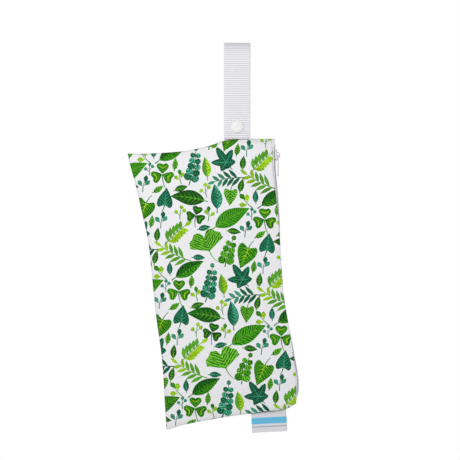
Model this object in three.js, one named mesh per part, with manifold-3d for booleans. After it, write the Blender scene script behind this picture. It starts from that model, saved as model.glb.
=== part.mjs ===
// Wet bag clutch: a flat zipped pouch of printed waterproof cloth that hangs from a snapped webbing loop.
// Millimetres. Z is up, the zip is on the +X side and the front of the pouch faces -Y.
// The origin is the inside top of the webbing loop, where the clutch hangs.
import * as THREE from 'three';
import { mergeVertices } from 'three/addons/utils/BufferGeometryUtils.js';
import Module from 'manifold-3d';

const wasm = await Module();
wasm.setup();

const MERGE_WITHIN = 1e-4;

// Webbing strap and its snap
const STRAP_WIDTH = 25.2;
const STRAP_THICK = 1.5;
const STRAP_EDGE_ROUND = 0.4;
const LOOP_RADIUS = 10.8;
const LOOP_STEPS = 16;
const LEG_STEPS = 5;
const STRAP_SEWN_IN = 9;
const STRAP_END_ABOVE_SEAM = 1.4;
const SNAP_DROP = 79;
const SNAP_FLAT_ABOVE = 9;
const SNAP_CAP_RADIUS = 6.1;
const SNAP_CAP_MIDDLE = 1.8;
const SNAP_CORE_RADIUS = 4.9;
const SNAP_CORE_THICK = 3.1;
const SNAP_SIDES = 24;

// Profile of a snap cap from its foot to the dish in its middle: how far inside the cap's radius, and how far
// out of its base.
const SNAP_CAP_STEPS = [
  { name: 'foot', inside: 0.5, out: 0 },
  { name: 'rim', inside: 0, out: 0.4 },
  { name: 'side', inside: 0.2, out: 1.0 },
  { name: 'shoulder', inside: 1.3, out: 1.9 },
  { name: 'crown', inside: 2.8, out: 2.2 },
  { name: 'dish', inside: 4.5, out: 2.0 },
];

// Pouch
const POUCH_DROP = 90;
const POUCH_TILT = THREE.MathUtils.degToRad(8);
const POUCH_LENGTH = 262;
const CLOTH_THICK = 1.1;
const SEAM_GAP = 0.3;
const PIECE_GAP = 0.3;
const EDGE_ROLL = 42;
const COLUMNS = 20;
const ROWS = 36;
const END_CROWDING = 0.6;

// The seam opens this far past the edges of what is sewn into it, and closes again over the second length.
const SEAM_OPEN_PAST = 7;
const SEAM_CLOSE_OVER = 9;
const SEAM_OPEN_DEEP = 30;

// Zip along the right side
const ZIP_HALF_DEPTH = 5.2;
const ZIP_END_ROLL = 12;
const ZIP_BLEND_FROM = 0.6;
const ZIP_BLEND_TO = 0.9;
const TAPE_THICK = 0.9;
const TAPE_OVERLAP = 6;
const TAPE_CORNER = 1.0;
const TAPE_HALVES_APART = 0.2;
const TAPE_PARTED_BY_POST = 1.3;
const COIL_HALF_WIDTH = 2.1;
const COIL_LOW = 0.7;
const COIL_HIGH = 2.1;
const COIL_EDGE_ROUND = 0.5;
const COIL_BELOW_SLIDER_MIDDLE = 0.3;

// Slider and pull, measured from the middle plane of the tape
const SLIDER_BELOW_SEAM = 16.4;
const SLIDER_LENGTH = 11;
const SLIDER_HEAD_WIDTH = 7.2;
const SLIDER_TAIL_WIDTH = 6.0;
const SLIDER_CORNER = 1.4;
const SLIDER_CORNER_STEPS = 4;
const INNER_PLATE = { low: -1.7, high: -0.8 };
const OUTER_PLATE = { low: 2.4, high: 3.3 };
const FUSE_OVERLAP = 0.3;
const LIP_LOW = 1.1;
const LIP_THICK = 0.7;
const LIP_LENGTH = 8;
const POST_LENGTH = 3;
const POST_WIDTH = 1.6;
const POST_UP = 3.2;
const BAIL_CENTRE = 2.9;
const BAIL_OUTER_RADIUS = 3.5;
const BAIL_INNER_RADIUS = 2.6;
const BAIL_WIDTH = 1.6;
const BAIL_STEPS = 12;
const PIVOT_HEIGHT = 4.45;
const PULL_LENGTH = 20;
const PULL_WIDTH = 4.4;
const PULL_WAIST = 3.4;
const PULL_THICK = 1.3;
const PULL_BAR = 1.1;
const PULL_EYE_LENGTH = 4.1;
const PULL_EYE_WIDTH = 2.4;
const PULL_SHOULDER = 5.6;
const PULL_WAIST_DOWN = 8.5;
const PULL_END_STEPS = 6;

// Folded label sewn into the bottom seam
const LABEL_WIDTH = 33.5;
const LABEL_THICK = 1.0;
const LABEL_MIDDLE = -6.5;
const LABEL_SEWN_IN = 6;
const LABEL_HANGS = 19;
const LABEL_TURN = THREE.MathUtils.degToRad(5);
const LABEL_BOW = 1.2;
const LABEL_ROWS = 6;
const LABEL_COLUMNS = 8;

// Cross-sections of the pouch from top to bottom, as a share of its length: its left edge and the panels'
// zip edge, measured across from the strap's middle, how far the zip stands out past that edge, and how far
// each panel swells.
const SECTIONS = [
  { share: 0.0, left: -105.3, right: 32.6, zip: 3.0, front: 3.4, back: 3.2 },
  { share: 0.04, left: -104.6, right: 31.8, zip: 1.2, front: 3.6, back: 3.4 },
  { share: 0.115, left: -102.0, right: 29.8, zip: 0.8, front: 4.0, back: 3.7 },
  { share: 0.21, left: -99.8, right: 29.0, zip: 0.4, front: 4.3, back: 4.0 },
  { share: 0.325, left: -97.6, right: 27.9, zip: -1.0, front: 4.6, back: 4.3 },
  { share: 0.46, left: -98.8, right: 25.2, zip: -2.6, front: 4.9, back: 4.6 },
  { share: 0.6, left: -100.1, right: 23.1, zip: -2.6, front: 5.2, back: 4.8 },
  { share: 0.725, left: -100.1, right: 24.0, zip: -1.6, front: 5.3, back: 4.9 },
  { share: 0.82, left: -101.5, right: 24.2, zip: -0.6, front: 5.2, back: 4.8 },
  { share: 0.91, left: -103.5, right: 23.4, zip: 0.8, front: 4.8, back: 4.5 },
  { share: 1.0, left: -105.3, right: 20.5, zip: 0.3, front: 4.4, back: 4.2 },
];

// Top and bottom seams from the left edge to the zip edge, as a share of the width: how far down each lies.
const SEAMS = [
  { share: 0.0, top: -0.5, bottom: 265.5 },
  { share: 0.14, top: 2.2, bottom: 262.9 },
  { share: 0.4, top: 4.6, bottom: 261.4 },
  { share: 0.56, top: 3.0, bottom: 261.2 },
  { share: 0.68, top: 0.3, bottom: 261.4 },
  { share: 0.84, top: 1.6, bottom: 261.9 },
  { share: 0.93, top: 3.2, bottom: 261.2 },
  { share: 1.0, top: 4.6, bottom: 258.0 },
];

// Soft folds and dents: place, turn of the fold's length from straight down in degrees, half length, half
// width, and how far it stands out of the front and of the back panel.
const FOLDS = [
  { name: 'strap pull, left', across: -30, down: 36, turn: -42, long: 34, wide: 9, front: 0.9, back: 0.8 },
  { name: 'strap pull, right', across: 12, down: 44, turn: 8, long: 30, wide: 8, front: 0.7, back: 0.9 },
  { name: 'below the strap', across: -8, down: 52, turn: -12, long: 30, wide: 9, front: -0.8, back: -0.5 },
  { name: 'left edge hollow', across: -80, down: 92, turn: 4, long: 30, wide: 11, front: -1.0, back: -0.9 },
  { name: 'upper zip pucker', across: 6, down: 100, turn: 68, long: 15, wide: 8, front: -0.7, back: -0.5 },
  { name: 'middle slack', across: -48, down: 140, turn: 58, long: 36, wide: 11, front: -0.7, back: -0.6 },
  { name: 'belly', across: -50, down: 196, turn: 0, long: 52, wide: 36, front: 1.1, back: 0.9 },
  { name: 'lower zip dent', across: 2, down: 208, turn: 24, long: 28, wide: 12, front: -1.3, back: -0.9 },
  { name: 'above the label', across: -8, down: 249, turn: 86, long: 18, wide: 8, front: -0.7, back: -0.4 },
];

const FRONT = -1;
const BACK = 1;

const finishes = {
  cloth: new THREE.MeshStandardMaterial({ color: 0xe9e9ed, roughness: 0.6, metalness: 0 }),
  tape: new THREE.MeshStandardMaterial({ color: 0xdedde6, roughness: 0.85, metalness: 0 }),
  coil: new THREE.MeshStandardMaterial({ color: 0xe8e7ec, roughness: 0.35, metalness: 0 }),
  enamel: new THREE.MeshStandardMaterial({ color: 0xeeeef0, roughness: 0.3, metalness: 0.1 }),
  webbing: new THREE.MeshStandardMaterial({ color: 0xe9e8ee, roughness: 0.85, metalness: 0 }),
  snap: new THREE.MeshStandardMaterial({ color: 0xf2f2ee, roughness: 0.25, metalness: 0 }),
  ribbon: new THREE.MeshStandardMaterial({ color: 0xe4e4ea, roughness: 0.8, metalness: 0 }),
};

const clutch = new THREE.Group();
const pouch = new THREE.Group();
pouch.position.z = -POUCH_DROP;
pouch.rotation.y = -POUCH_TILT;
clutch.add(pouch);

function addPiece(group, name, geometry, finish) {
  const mesh = new THREE.Mesh(geometry, finish);
  mesh.name = name;
  group.add(mesh);
  return mesh;
}

// Tables and shares

function slopeAt(table, column, index) {
  const before = table[Math.max(index - 1, 0)];
  const after = table[Math.min(index + 1, table.length - 1)];
  return (after[column] - before[column]) / (after.share - before.share);
}

function smooth(table, column, share) {
  let index = 0;
  while (index < table.length - 2 && share > table[index + 1].share) {
    index += 1;
  }
  const from = table[index];
  const to = table[index + 1];
  const span = to.share - from.share;
  const k = THREE.MathUtils.clamp((share - from.share) / span, 0, 1);
  const startSlope = slopeAt(table, column, index) * span;
  const endSlope = slopeAt(table, column, index + 1) * span;
  const rise = to[column] - from[column];
  const square = 3 * rise - 2 * startSlope - endSlope;
  const cube = startSlope + endSlope - 2 * rise;
  return from[column] + k * (startSlope + k * (square + k * cube));
}

function crowdedShares(count) {
  const shares = [];
  for (let i = 0; i <= count; i += 1) {
    const even = i / count;
    const crowded = 0.5 - 0.5 * Math.cos(Math.PI * even);
    shares.push(THREE.MathUtils.lerp(even, crowded, END_CROWDING));
  }
  return shares;
}

// 0 at an edge, rising to 1 at the given distance from it.
function roll(distance, over) {
  const left = 1 - THREE.MathUtils.clamp(distance / over, 0, 1);
  return 1 - left ** 3;
}

const columnShares = crowdedShares(COLUMNS);
const rowShares = crowdedShares(ROWS);

// Shape of the pouch

function sectionAt(row) {
  const section = {};
  for (const column of ['left', 'right', 'zip', 'front', 'back']) {
    section[column] = smooth(SECTIONS, column, row);
  }
  return section;
}

function downAt(column, row) {
  const top = smooth(SEAMS, 'top', column);
  const bottom = smooth(SEAMS, 'bottom', column);
  return THREE.MathUtils.lerp(top, bottom, row);
}

// How far the seam's two layers part at this place for something sewn between them.
function seamOpening(across, middle, halfWidth, halfThick) {
  const past = Math.abs(across - middle) - halfWidth - SEAM_OPEN_PAST;
  const opening = halfThick + PIECE_GAP - SEAM_GAP / 2;
  return opening * (1 - THREE.MathUtils.smoothstep(past, 0, SEAM_CLOSE_OVER));
}

function foldAt(across, down, side) {
  let height = 0;
  for (const fold of FOLDS) {
    const turn = THREE.MathUtils.degToRad(fold.turn);
    const dx = across - fold.across;
    const dd = down - fold.down;
    const along = (dx * Math.sin(turn) + dd * Math.cos(turn)) / fold.long;
    const over = (dx * Math.cos(turn) - dd * Math.sin(turn)) / fold.wide;
    const amount = side === FRONT ? fold.front : fold.back;
    height += amount * Math.exp(-along * along - over * over);
  }
  return height;
}

function zipDepth(row) {
  const fromTop = row * POUCH_LENGTH;
  const fromBottom = (1 - row) * POUCH_LENGTH;
  return ZIP_HALF_DEPTH * roll(fromTop, ZIP_END_ROLL) * roll(fromBottom, ZIP_END_ROLL);
}

// Distance of a panel's inner face from the seam plane.
function depthAt(column, row, side) {
  const section = sectionAt(row);
  const across = THREE.MathUtils.lerp(section.left, section.right, column);
  const down = downAt(column, row);
  const fromTop = row * POUCH_LENGTH;
  const fromBottom = (1 - row) * POUCH_LENGTH;
  const ends = roll(fromTop, EDGE_ROLL) * roll(fromBottom, EDGE_ROLL);
  const edges = ends * roll(across - section.left, EDGE_ROLL);
  const swell = (side === FRONT ? section.front : section.back) + foldAt(across, down, side);
  const zipShare = THREE.MathUtils.smoothstep(column, ZIP_BLEND_FROM, ZIP_BLEND_TO);
  const body = THREE.MathUtils.lerp(swell * edges, zipDepth(row), zipShare);
  const strapOpening = seamOpening(across, 0, STRAP_WIDTH / 2, STRAP_THICK / 2);
  const labelOpening = seamOpening(across, LABEL_MIDDLE, LABEL_WIDTH / 2, LABEL_THICK / 2);
  const parted = strapOpening * (1 - roll(fromTop, SEAM_OPEN_DEEP))
    + labelOpening * (1 - roll(fromBottom, SEAM_OPEN_DEEP));
  return SEAM_GAP / 2 + body + parted * (1 - zipShare);
}

function innerPoint(column, row, side) {
  const section = sectionAt(row);
  const across = THREE.MathUtils.lerp(section.left, section.right, column);
  return new THREE.Vector3(across, side * depthAt(column, row, side), -downAt(column, row));
}

function outerPoint(column, row, side) {
  const step = 1e-3;
  const low = (share) => Math.max(share - step, 0);
  const high = (share) => Math.min(share + step, 1);
  const alongColumn = innerPoint(high(column), row, side).sub(innerPoint(low(column), row, side));
  const alongRow = innerPoint(column, high(row), side).sub(innerPoint(column, low(row), side));
  const outward = alongColumn.cross(alongRow).normalize();
  outward.multiplyScalar(Math.sign(outward.y) * side * CLOTH_THICK);
  return innerPoint(column, row, side).add(outward);
}

// Solids

function flipTriangles(indices) {
  for (let i = 0; i < indices.length; i += 3) {
    [indices[i + 1], indices[i + 2]] = [indices[i + 2], indices[i + 1]];
  }
}

function signedVolume(points, indices) {
  let total = 0;
  for (let i = 0; i < indices.length; i += 3) {
    const [a, b, c] = [points[indices[i]], points[indices[i + 1]], points[indices[i + 2]]];
    total += a.dot(new THREE.Vector3().crossVectors(b, c)) / 6;
  }
  return total;
}

// A closed solid through rings of equal count. The end rings are filled as seen along Z.
function loft(rings) {
  const count = rings[0].length;
  const points = rings.flat();
  const indices = [];
  for (let ring = 0; ring < rings.length - 1; ring += 1) {
    for (let i = 0; i < count; i += 1) {
      const next = (i + 1) % count;
      const a = ring * count + i;
      const b = ring * count + next;
      const c = a + count;
      const d = b + count;
      indices.push(a, c, b, b, c, d);
    }
  }
  const lastStart = (rings.length - 1) * count;
  for (const [start, isLast] of [[0, false], [lastStart, true]]) {
    const outline = points.slice(start, start + count).map((p) => new THREE.Vector2(p.x, p.y));
    const alongRing = !THREE.ShapeUtils.isClockWise(outline);
    for (const [a, b, c] of THREE.ShapeUtils.triangulateShape(outline, [])) {
      const corners = alongRing !== isLast ? [a, b, c] : [a, c, b];
      indices.push(...corners.map((corner) => start + corner));
    }
  }
  if (signedVolume(points, indices) < 0) {
    flipTriangles(indices);
  }
  const geometry = new THREE.BufferGeometry().setFromPoints(points);
  geometry.setIndex(indices);
  geometry.computeVertexNormals();
  return geometry;
}

// The outline of a strip of even thickness along an open line in the plane.
function ribbon(line, thick) {
  const leftSide = [];
  const rightSide = [];
  for (let i = 0; i < line.length; i += 1) {
    const before = line[Math.max(i - 1, 0)];
    const after = line[Math.min(i + 1, line.length - 1)];
    const along = (from, to) => new THREE.Vector2().subVectors(to, from).normalize();
    const arriving = i > 0 ? along(before, line[i]) : along(line[i], after);
    const leaving = i < line.length - 1 ? along(line[i], after) : arriving;
    const middle = new THREE.Vector2().addVectors(arriving, leaving).normalize();
    const across = new THREE.Vector2(-middle.y, middle.x);
    const reach = thick / 2 / middle.dot(leaving);
    leftSide.push(line[i].clone().addScaledVector(across, reach));
    rightSide.push(line[i].clone().addScaledVector(across, -reach));
  }
  return [...leftSide, ...rightSide.reverse()];
}

function roundedBox(halfWidth, low, high, round) {
  return [
    [halfWidth, low + round], [halfWidth, high - round],
    [halfWidth - round, high], [round - halfWidth, high],
    [-halfWidth, high - round], [-halfWidth, low + round],
    [round - halfWidth, low], [halfWidth - round, low],
  ].map(([x, y]) => new THREE.Vector2(x, y));
}

function toManifold(geometry) {
  const bare = geometry.clone();
  bare.deleteAttribute('normal');
  bare.deleteAttribute('uv');
  const merged = mergeVertices(bare, MERGE_WITHIN);
  const mesh = new wasm.Mesh({
    numProp: 3,
    vertProperties: new Float32Array(merged.attributes.position.array),
    triVerts: new Uint32Array(merged.index.array),
  });
  return new wasm.Manifold(mesh);
}

function fuse(geometries) {
  const solid = geometries.map(toManifold).reduce((whole, part) => whole.add(part));
  const mesh = solid.getMesh();
  const geometry = new THREE.BufferGeometry();
  geometry.setAttribute('position', new THREE.BufferAttribute(mesh.vertProperties, 3));
  geometry.setIndex(new THREE.BufferAttribute(mesh.triVerts, 1));
  geometry.computeVertexNormals();
  return geometry;
}

// Panels

function panel(side) {
  const rings = rowShares.map((row) => {
    const outer = columnShares.map((column) => outerPoint(column, row, side));
    const inner = columnShares.map((column) => innerPoint(column, row, side));
    return [...outer, ...inner.reverse()];
  });
  return loft(rings);
}

addPiece(pouch, 'front_panel', panel(FRONT), finishes.cloth);
addPiece(pouch, 'back_panel', panel(BACK), finishes.cloth);

// Zip

// The place on a row of the pouch that lies the given distance outside the zip's ridge.
function besideRidge(outside, depth, row) {
  const section = sectionAt(row);
  const across = section.right + section.zip + outside;
  const column = Math.min((across - section.left) / (section.right - section.left), 1);
  return new THREE.Vector3(across, depth, -downAt(column, row));
}

const sliderRow = SLIDER_BELOW_SEAM / POUCH_LENGTH;
const coilTopRow = (SLIDER_BELOW_SEAM + COIL_BELOW_SLIDER_MIDDLE) / POUCH_LENGTH;

function tapeHalf(side) {
  const rows = rowShares.slice(1, -1);
  const rings = rows.map((row) => {
    const section = sectionAt(row);
    const sideDepth = zipDepth(row) + SEAM_GAP / 2 - PIECE_GAP - TAPE_THICK / 2;
    const parted = row < coilTopRow ? TAPE_PARTED_BY_POST : TAPE_HALVES_APART;
    const line = [
      new THREE.Vector2(0, parted),
      new THREE.Vector2(0, sideDepth - TAPE_CORNER),
      new THREE.Vector2(-TAPE_CORNER, sideDepth),
      new THREE.Vector2(-section.zip - TAPE_OVERLAP, sideDepth),
    ];
    return ribbon(line, TAPE_THICK).map((p) => besideRidge(p.x, side * p.y, row));
  });
  return loft(rings);
}

addPiece(pouch, 'zip_tape_front', tapeHalf(FRONT), finishes.tape);
addPiece(pouch, 'zip_tape_back', tapeHalf(BACK), finishes.tape);

function coil() {
  const rows = [coilTopRow, ...rowShares.slice(1, -1).filter((row) => row > coilTopRow)];
  const outline = roundedBox(COIL_HALF_WIDTH, COIL_LOW, COIL_HIGH, COIL_EDGE_ROUND);
  return loft(rows.map((row) => outline.map((p) => besideRidge(p.y, p.x, row))));
}

addPiece(pouch, 'zip_coil', coil(), finishes.coil);

// The slider's own frame: X out of the zip, Y across it and Z up along it.
const slider = new THREE.Group();
const tangentStep = 0.01;
const ridgeAbove = besideRidge(0, 0, sliderRow - tangentStep);
const ridgeBelow = besideRidge(0, 0, sliderRow + tangentStep);
const upTheZip = new THREE.Vector3().subVectors(ridgeAbove, ridgeBelow);
slider.position.copy(besideRidge(0, 0, sliderRow));
slider.rotation.y = Math.atan2(upTheZip.x, upTheZip.z);
pouch.add(slider);

const flatOnZip = new THREE.Matrix4().makeBasis(
  new THREE.Vector3(0, 1, 0),
  new THREE.Vector3(0, 0, 1),
  new THREE.Vector3(1, 0, 0),
);
const standingOnZip = new THREE.Matrix4().makeBasis(
  new THREE.Vector3(1, 0, 0),
  new THREE.Vector3(0, 0, 1),
  new THREE.Vector3(0, -1, 0),
);

function extrudeFlat(shape, low, high, steps = SLIDER_CORNER_STEPS) {
  const options = { depth: high - low, bevelEnabled: false, curveSegments: steps };
  const geometry = new THREE.ExtrudeGeometry(shape, options);
  return geometry.applyMatrix4(flatOnZip).translate(low, 0, 0);
}

function plateShape() {
  const head = SLIDER_HEAD_WIDTH / 2;
  const tail = SLIDER_TAIL_WIDTH / 2;
  const half = SLIDER_LENGTH / 2;
  const shape = new THREE.Shape();
  shape.moveTo(-tail + SLIDER_CORNER, -half);
  shape.lineTo(tail - SLIDER_CORNER, -half);
  shape.quadraticCurveTo(tail, -half, tail, -half + SLIDER_CORNER);
  shape.lineTo(head, half - SLIDER_CORNER);
  shape.quadraticCurveTo(head, half, head - SLIDER_CORNER, half);
  shape.lineTo(-head + SLIDER_CORNER, half);
  shape.quadraticCurveTo(-head, half, -head, half - SLIDER_CORNER);
  shape.lineTo(-tail, -half + SLIDER_CORNER);
  shape.quadraticCurveTo(-tail, -half, -tail + SLIDER_CORNER, -half);
  return shape;
}

function lip(side) {
  const height = OUTER_PLATE.low + FUSE_OVERLAP - LIP_LOW;
  const geometry = new THREE.BoxGeometry(height, LIP_THICK, LIP_LENGTH);
  const edge = SLIDER_TAIL_WIDTH / 2 - LIP_THICK / 2;
  return geometry.translate(LIP_LOW + height / 2, side * edge, 0);
}

function post() {
  const half = POST_LENGTH / 2;
  const shape = new THREE.Shape();
  shape.moveTo(0, POST_UP - half);
  shape.lineTo(POST_WIDTH / 2, POST_UP);
  shape.lineTo(0, POST_UP + half);
  shape.lineTo(-POST_WIDTH / 2, POST_UP);
  return extrudeFlat(shape, INNER_PLATE.high - FUSE_OVERLAP, OUTER_PLATE.low + FUSE_OVERLAP);
}

function bail() {
  const shape = new THREE.Shape();
  shape.absarc(0, 0, BAIL_OUTER_RADIUS, -Math.PI / 2, Math.PI / 2, false);
  shape.absarc(0, 0, BAIL_INNER_RADIUS, Math.PI / 2, -Math.PI / 2, true);
  const options = { depth: BAIL_WIDTH, bevelEnabled: false, curveSegments: BAIL_STEPS };
  const geometry = new THREE.ExtrudeGeometry(shape, options);
  return geometry.applyMatrix4(standingOnZip).translate(BAIL_CENTRE, BAIL_WIDTH / 2, 0);
}

const sliderBody = fuse([
  extrudeFlat(plateShape(), INNER_PLATE.low, INNER_PLATE.high),
  extrudeFlat(plateShape(), OUTER_PLATE.low, OUTER_PLATE.high),
  lip(FRONT),
  lip(BACK),
  post(),
  bail(),
]);
addPiece(slider, 'zip_slider', sliderBody, finishes.enamel);

function pull() {
  const half = PULL_WIDTH / 2;
  const waist = PULL_WAIST / 2;
  const barTop = PULL_BAR / 2;
  const roundCentre = -PULL_LENGTH + waist;
  const shape = new THREE.Shape();
  shape.moveTo(-half, barTop);
  shape.lineTo(-half, -PULL_SHOULDER);
  shape.lineTo(-waist, -PULL_WAIST_DOWN);
  shape.absarc(0, roundCentre, waist, Math.PI, 2 * Math.PI, false);
  shape.lineTo(waist, -PULL_WAIST_DOWN);
  shape.lineTo(half, -PULL_SHOULDER);
  shape.lineTo(half, barTop);
  const eye = new THREE.Path();
  const eyeHalf = PULL_EYE_WIDTH / 2;
  eye.moveTo(-eyeHalf, -PULL_BAR / 2);
  eye.lineTo(eyeHalf, -PULL_BAR / 2);
  eye.lineTo(eyeHalf, -PULL_EYE_LENGTH);
  eye.lineTo(-eyeHalf, -PULL_EYE_LENGTH);
  shape.holes.push(eye);
  return extrudeFlat(shape, PIVOT_HEIGHT - PULL_THICK / 2, PIVOT_HEIGHT + PULL_THICK / 2, PULL_END_STEPS);
}

addPiece(slider, 'zip_pull', pull(), finishes.enamel);

// Strap: sewn into the top seam, up the back, over the loop and down the front to its snapped end.

const layerGap = SNAP_CORE_THICK + 2 * PIECE_GAP;
const frontLayer = -(layerGap + STRAP_THICK);
const strapMiddleRadius = LOOP_RADIUS + STRAP_THICK / 2;

// Angle round the loop, from straight back, at which a leg to the given point leaves it.
function tangentAngle(depth, height) {
  const dy = Math.abs(depth);
  const dz = height + LOOP_RADIUS;
  const distance = Math.hypot(dy, dz);
  return Math.atan2(dz, dy) + Math.acos(strapMiddleRadius / distance);
}

function strapLine() {
  const flatTop = -SNAP_DROP + SNAP_FLAT_ABOVE;
  const rear = tangentAngle(0, flatTop);
  const front = Math.PI - tangentAngle(frontLayer, flatTop);
  const line = [
    new THREE.Vector2(0, -POUCH_DROP - STRAP_SEWN_IN),
    new THREE.Vector2(0, -POUCH_DROP + STRAP_END_ABOVE_SEAM),
    new THREE.Vector2(0, -SNAP_DROP),
  ];
  const loop = [];
  for (let i = 0; i <= LOOP_STEPS; i += 1) {
    const angle = THREE.MathUtils.lerp(rear, front, i / LOOP_STEPS);
    const y = strapMiddleRadius * Math.cos(angle);
    const z = strapMiddleRadius * Math.sin(angle) - LOOP_RADIUS;
    loop.push(new THREE.Vector2(y, z));
  }
  const rearFoot = new THREE.Vector2(0, flatTop);
  const frontFoot = new THREE.Vector2(frontLayer, flatTop);
  for (let i = 0; i < LEG_STEPS; i += 1) {
    line.push(rearFoot.clone().lerp(loop[0], i / LEG_STEPS));
  }
  line.push(...loop);
  for (let i = 1; i <= LEG_STEPS; i += 1) {
    line.push(loop[LOOP_STEPS].clone().lerp(frontFoot, i / LEG_STEPS));
  }
  line.push(new THREE.Vector2(frontLayer, -SNAP_DROP));
  line.push(new THREE.Vector2(frontLayer, -POUCH_DROP + STRAP_END_ABOVE_SEAM));
  return line;
}

function strap() {
  const line = strapLine();
  const half = STRAP_THICK / 2;
  const outline = roundedBox(STRAP_WIDTH / 2, -half, half, STRAP_EDGE_ROUND);
  const rings = line.map((point, i) => {
    const before = line[Math.max(i - 1, 0)];
    const after = line[Math.min(i + 1, line.length - 1)];
    const along = new THREE.Vector2().subVectors(after, before).normalize();
    return outline.map((p) => new THREE.Vector3(p.x, point.x - along.y * p.y, point.y + along.x * p.y));
  });
  return loft(rings);
}

addPiece(clutch, 'strap', strap(), finishes.webbing);

// Snap: turned on an axis through both layers of the strap. Profiles are radius and distance outwards.

function turned(profile, side) {
  const points = profile.map(([radius, out]) => new THREE.Vector2(radius, side * out));
  return new THREE.LatheGeometry(side === FRONT ? points.reverse() : points, SNAP_SIDES);
}

const capProfile = [
  [0, 0],
  ...SNAP_CAP_STEPS.map((step) => [SNAP_CAP_RADIUS - step.inside, step.out]),
  [0, SNAP_CAP_MIDDLE],
];
const coreProfile = [
  [0, 0],
  [SNAP_CORE_RADIUS, 0],
  [SNAP_CORE_RADIUS, SNAP_CORE_THICK],
  [0, SNAP_CORE_THICK],
];

const snapCap = addPiece(clutch, 'snap_cap', turned(capProfile, FRONT), finishes.snap);
snapCap.position.set(0, frontLayer - STRAP_THICK / 2 - PIECE_GAP, -SNAP_DROP);

const snapCore = addPiece(clutch, 'snap_core', turned(coreProfile, BACK), finishes.snap);
snapCore.position.set(0, frontLayer + STRAP_THICK / 2 + PIECE_GAP, -SNAP_DROP);

const snapBackCap = addPiece(clutch, 'snap_back_cap', turned(capProfile, BACK), finishes.snap);
snapBackCap.position.set(0, STRAP_THICK / 2 + PIECE_GAP, -SNAP_DROP);

// Label: a flat tag that bows a little to the front below the seam.

function label() {
  const rings = [];
  for (let row = 0; row <= LABEL_ROWS; row += 1) {
    const down = THREE.MathUtils.lerp(-LABEL_SEWN_IN, LABEL_HANGS, row / LABEL_ROWS);
    const bow = -LABEL_BOW * (Math.max(down, 0) / LABEL_HANGS) ** 2;
    const front = [];
    const back = [];
    for (let column = 0; column <= LABEL_COLUMNS; column += 1) {
      const x = LABEL_WIDTH * (column / LABEL_COLUMNS - 0.5);
      front.push(new THREE.Vector3(x, bow - LABEL_THICK / 2, -down));
      back.push(new THREE.Vector3(x, bow + LABEL_THICK / 2, -down));
    }
    rings.push([...front, ...back.reverse()]);
  }
  return loft(rings);
}

const labelColumn = (LABEL_MIDDLE - smooth(SECTIONS, 'left', 1))
  / (smooth(SECTIONS, 'right', 1) - smooth(SECTIONS, 'left', 1));
const labelPiece = addPiece(pouch, 'label', label(), finishes.ribbon);
labelPiece.position.set(LABEL_MIDDLE, 0, -downAt(labelColumn, 1));
labelPiece.rotation.y = LABEL_TURN;

export default clutch;
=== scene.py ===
from math import acos, atan2, cos, exp, hypot, log, pi, radians, sin

import bmesh
import bpy
import numpy as np
from mathutils import Matrix, Vector
from mathutils.geometry import delaunay_2d_cdt


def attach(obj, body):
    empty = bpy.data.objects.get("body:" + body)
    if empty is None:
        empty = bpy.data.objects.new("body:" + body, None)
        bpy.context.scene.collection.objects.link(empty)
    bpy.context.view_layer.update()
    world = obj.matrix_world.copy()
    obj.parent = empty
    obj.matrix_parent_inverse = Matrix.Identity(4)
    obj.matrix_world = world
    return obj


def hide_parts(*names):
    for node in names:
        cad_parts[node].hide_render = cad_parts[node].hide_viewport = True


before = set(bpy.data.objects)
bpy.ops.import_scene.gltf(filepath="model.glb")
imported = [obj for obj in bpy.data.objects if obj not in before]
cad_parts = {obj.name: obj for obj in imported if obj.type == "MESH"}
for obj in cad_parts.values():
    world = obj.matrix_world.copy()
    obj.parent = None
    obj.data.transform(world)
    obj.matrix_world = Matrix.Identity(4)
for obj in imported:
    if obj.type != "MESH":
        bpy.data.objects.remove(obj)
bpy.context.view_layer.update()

# A zipped pouch of leaf-printed cloth that hangs from a snapped webbing loop.
# Sizes are in millimetres, as in the solids, and meshes in metres. The pouch's own frame is across,
# out of the seam plane (front is minus) and down, and it hangs turned about Y.

MM = 0.001
FRONT = -1
BACK = 1

# Pouch
POUCH_DROP = 90
POUCH_TILT = radians(8)
POUCH_LENGTH = 262
POUCH_WIDTH = 140
CLOTH_THICK = 1.1
WALL_THICK = 0.5
SEAM_GAP = 0.3
PIECE_GAP = 0.3
SEAM_TUCK = 0.12
EDGE_ROLL = 42
FOLDED_EDGE = 1.5
EDGE_ROUND = 5
ZIP_EDGE_ROUND = 26
EDGE_PUFF = 2.0
SEAM_OPEN_PAST = 0.5
SEAM_CLOSE_OVER = 4
SEAM_OPEN_DEEP = 30
ZIP_END_OPEN = 0.54
ZIP_END_DEEP = 16
ZIP_END_COLUMNS = (0.97, 0.985)

# Cross-sections from top to bottom
SECTION_COLUMNS = ("share", "left", "right", "zip", "front", "back")
SECTIONS = (
    (0.0, -105.3, 32.6, 3.0, 3.4, 3.2),
    (0.04, -104.6, 31.8, 1.2, 3.6, 3.4),
    (0.115, -102.0, 29.8, 0.8, 4.0, 3.7),
    (0.21, -99.8, 29.0, 0.4, 4.3, 4.0),
    (0.325, -97.6, 27.9, -1.0, 4.6, 4.3),
    (0.46, -98.8, 25.2, -2.6, 4.9, 4.6),
    (0.6, -100.1, 23.1, -2.6, 5.2, 4.8),
    (0.725, -100.1, 24.0, -1.6, 5.3, 4.9),
    (0.82, -101.5, 24.2, -0.6, 5.2, 4.8),
    (0.91, -103.5, 23.4, 0.8, 4.8, 4.5),
    (1.0, -105.3, 20.5, 0.3, 4.4, 4.2),
)

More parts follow.
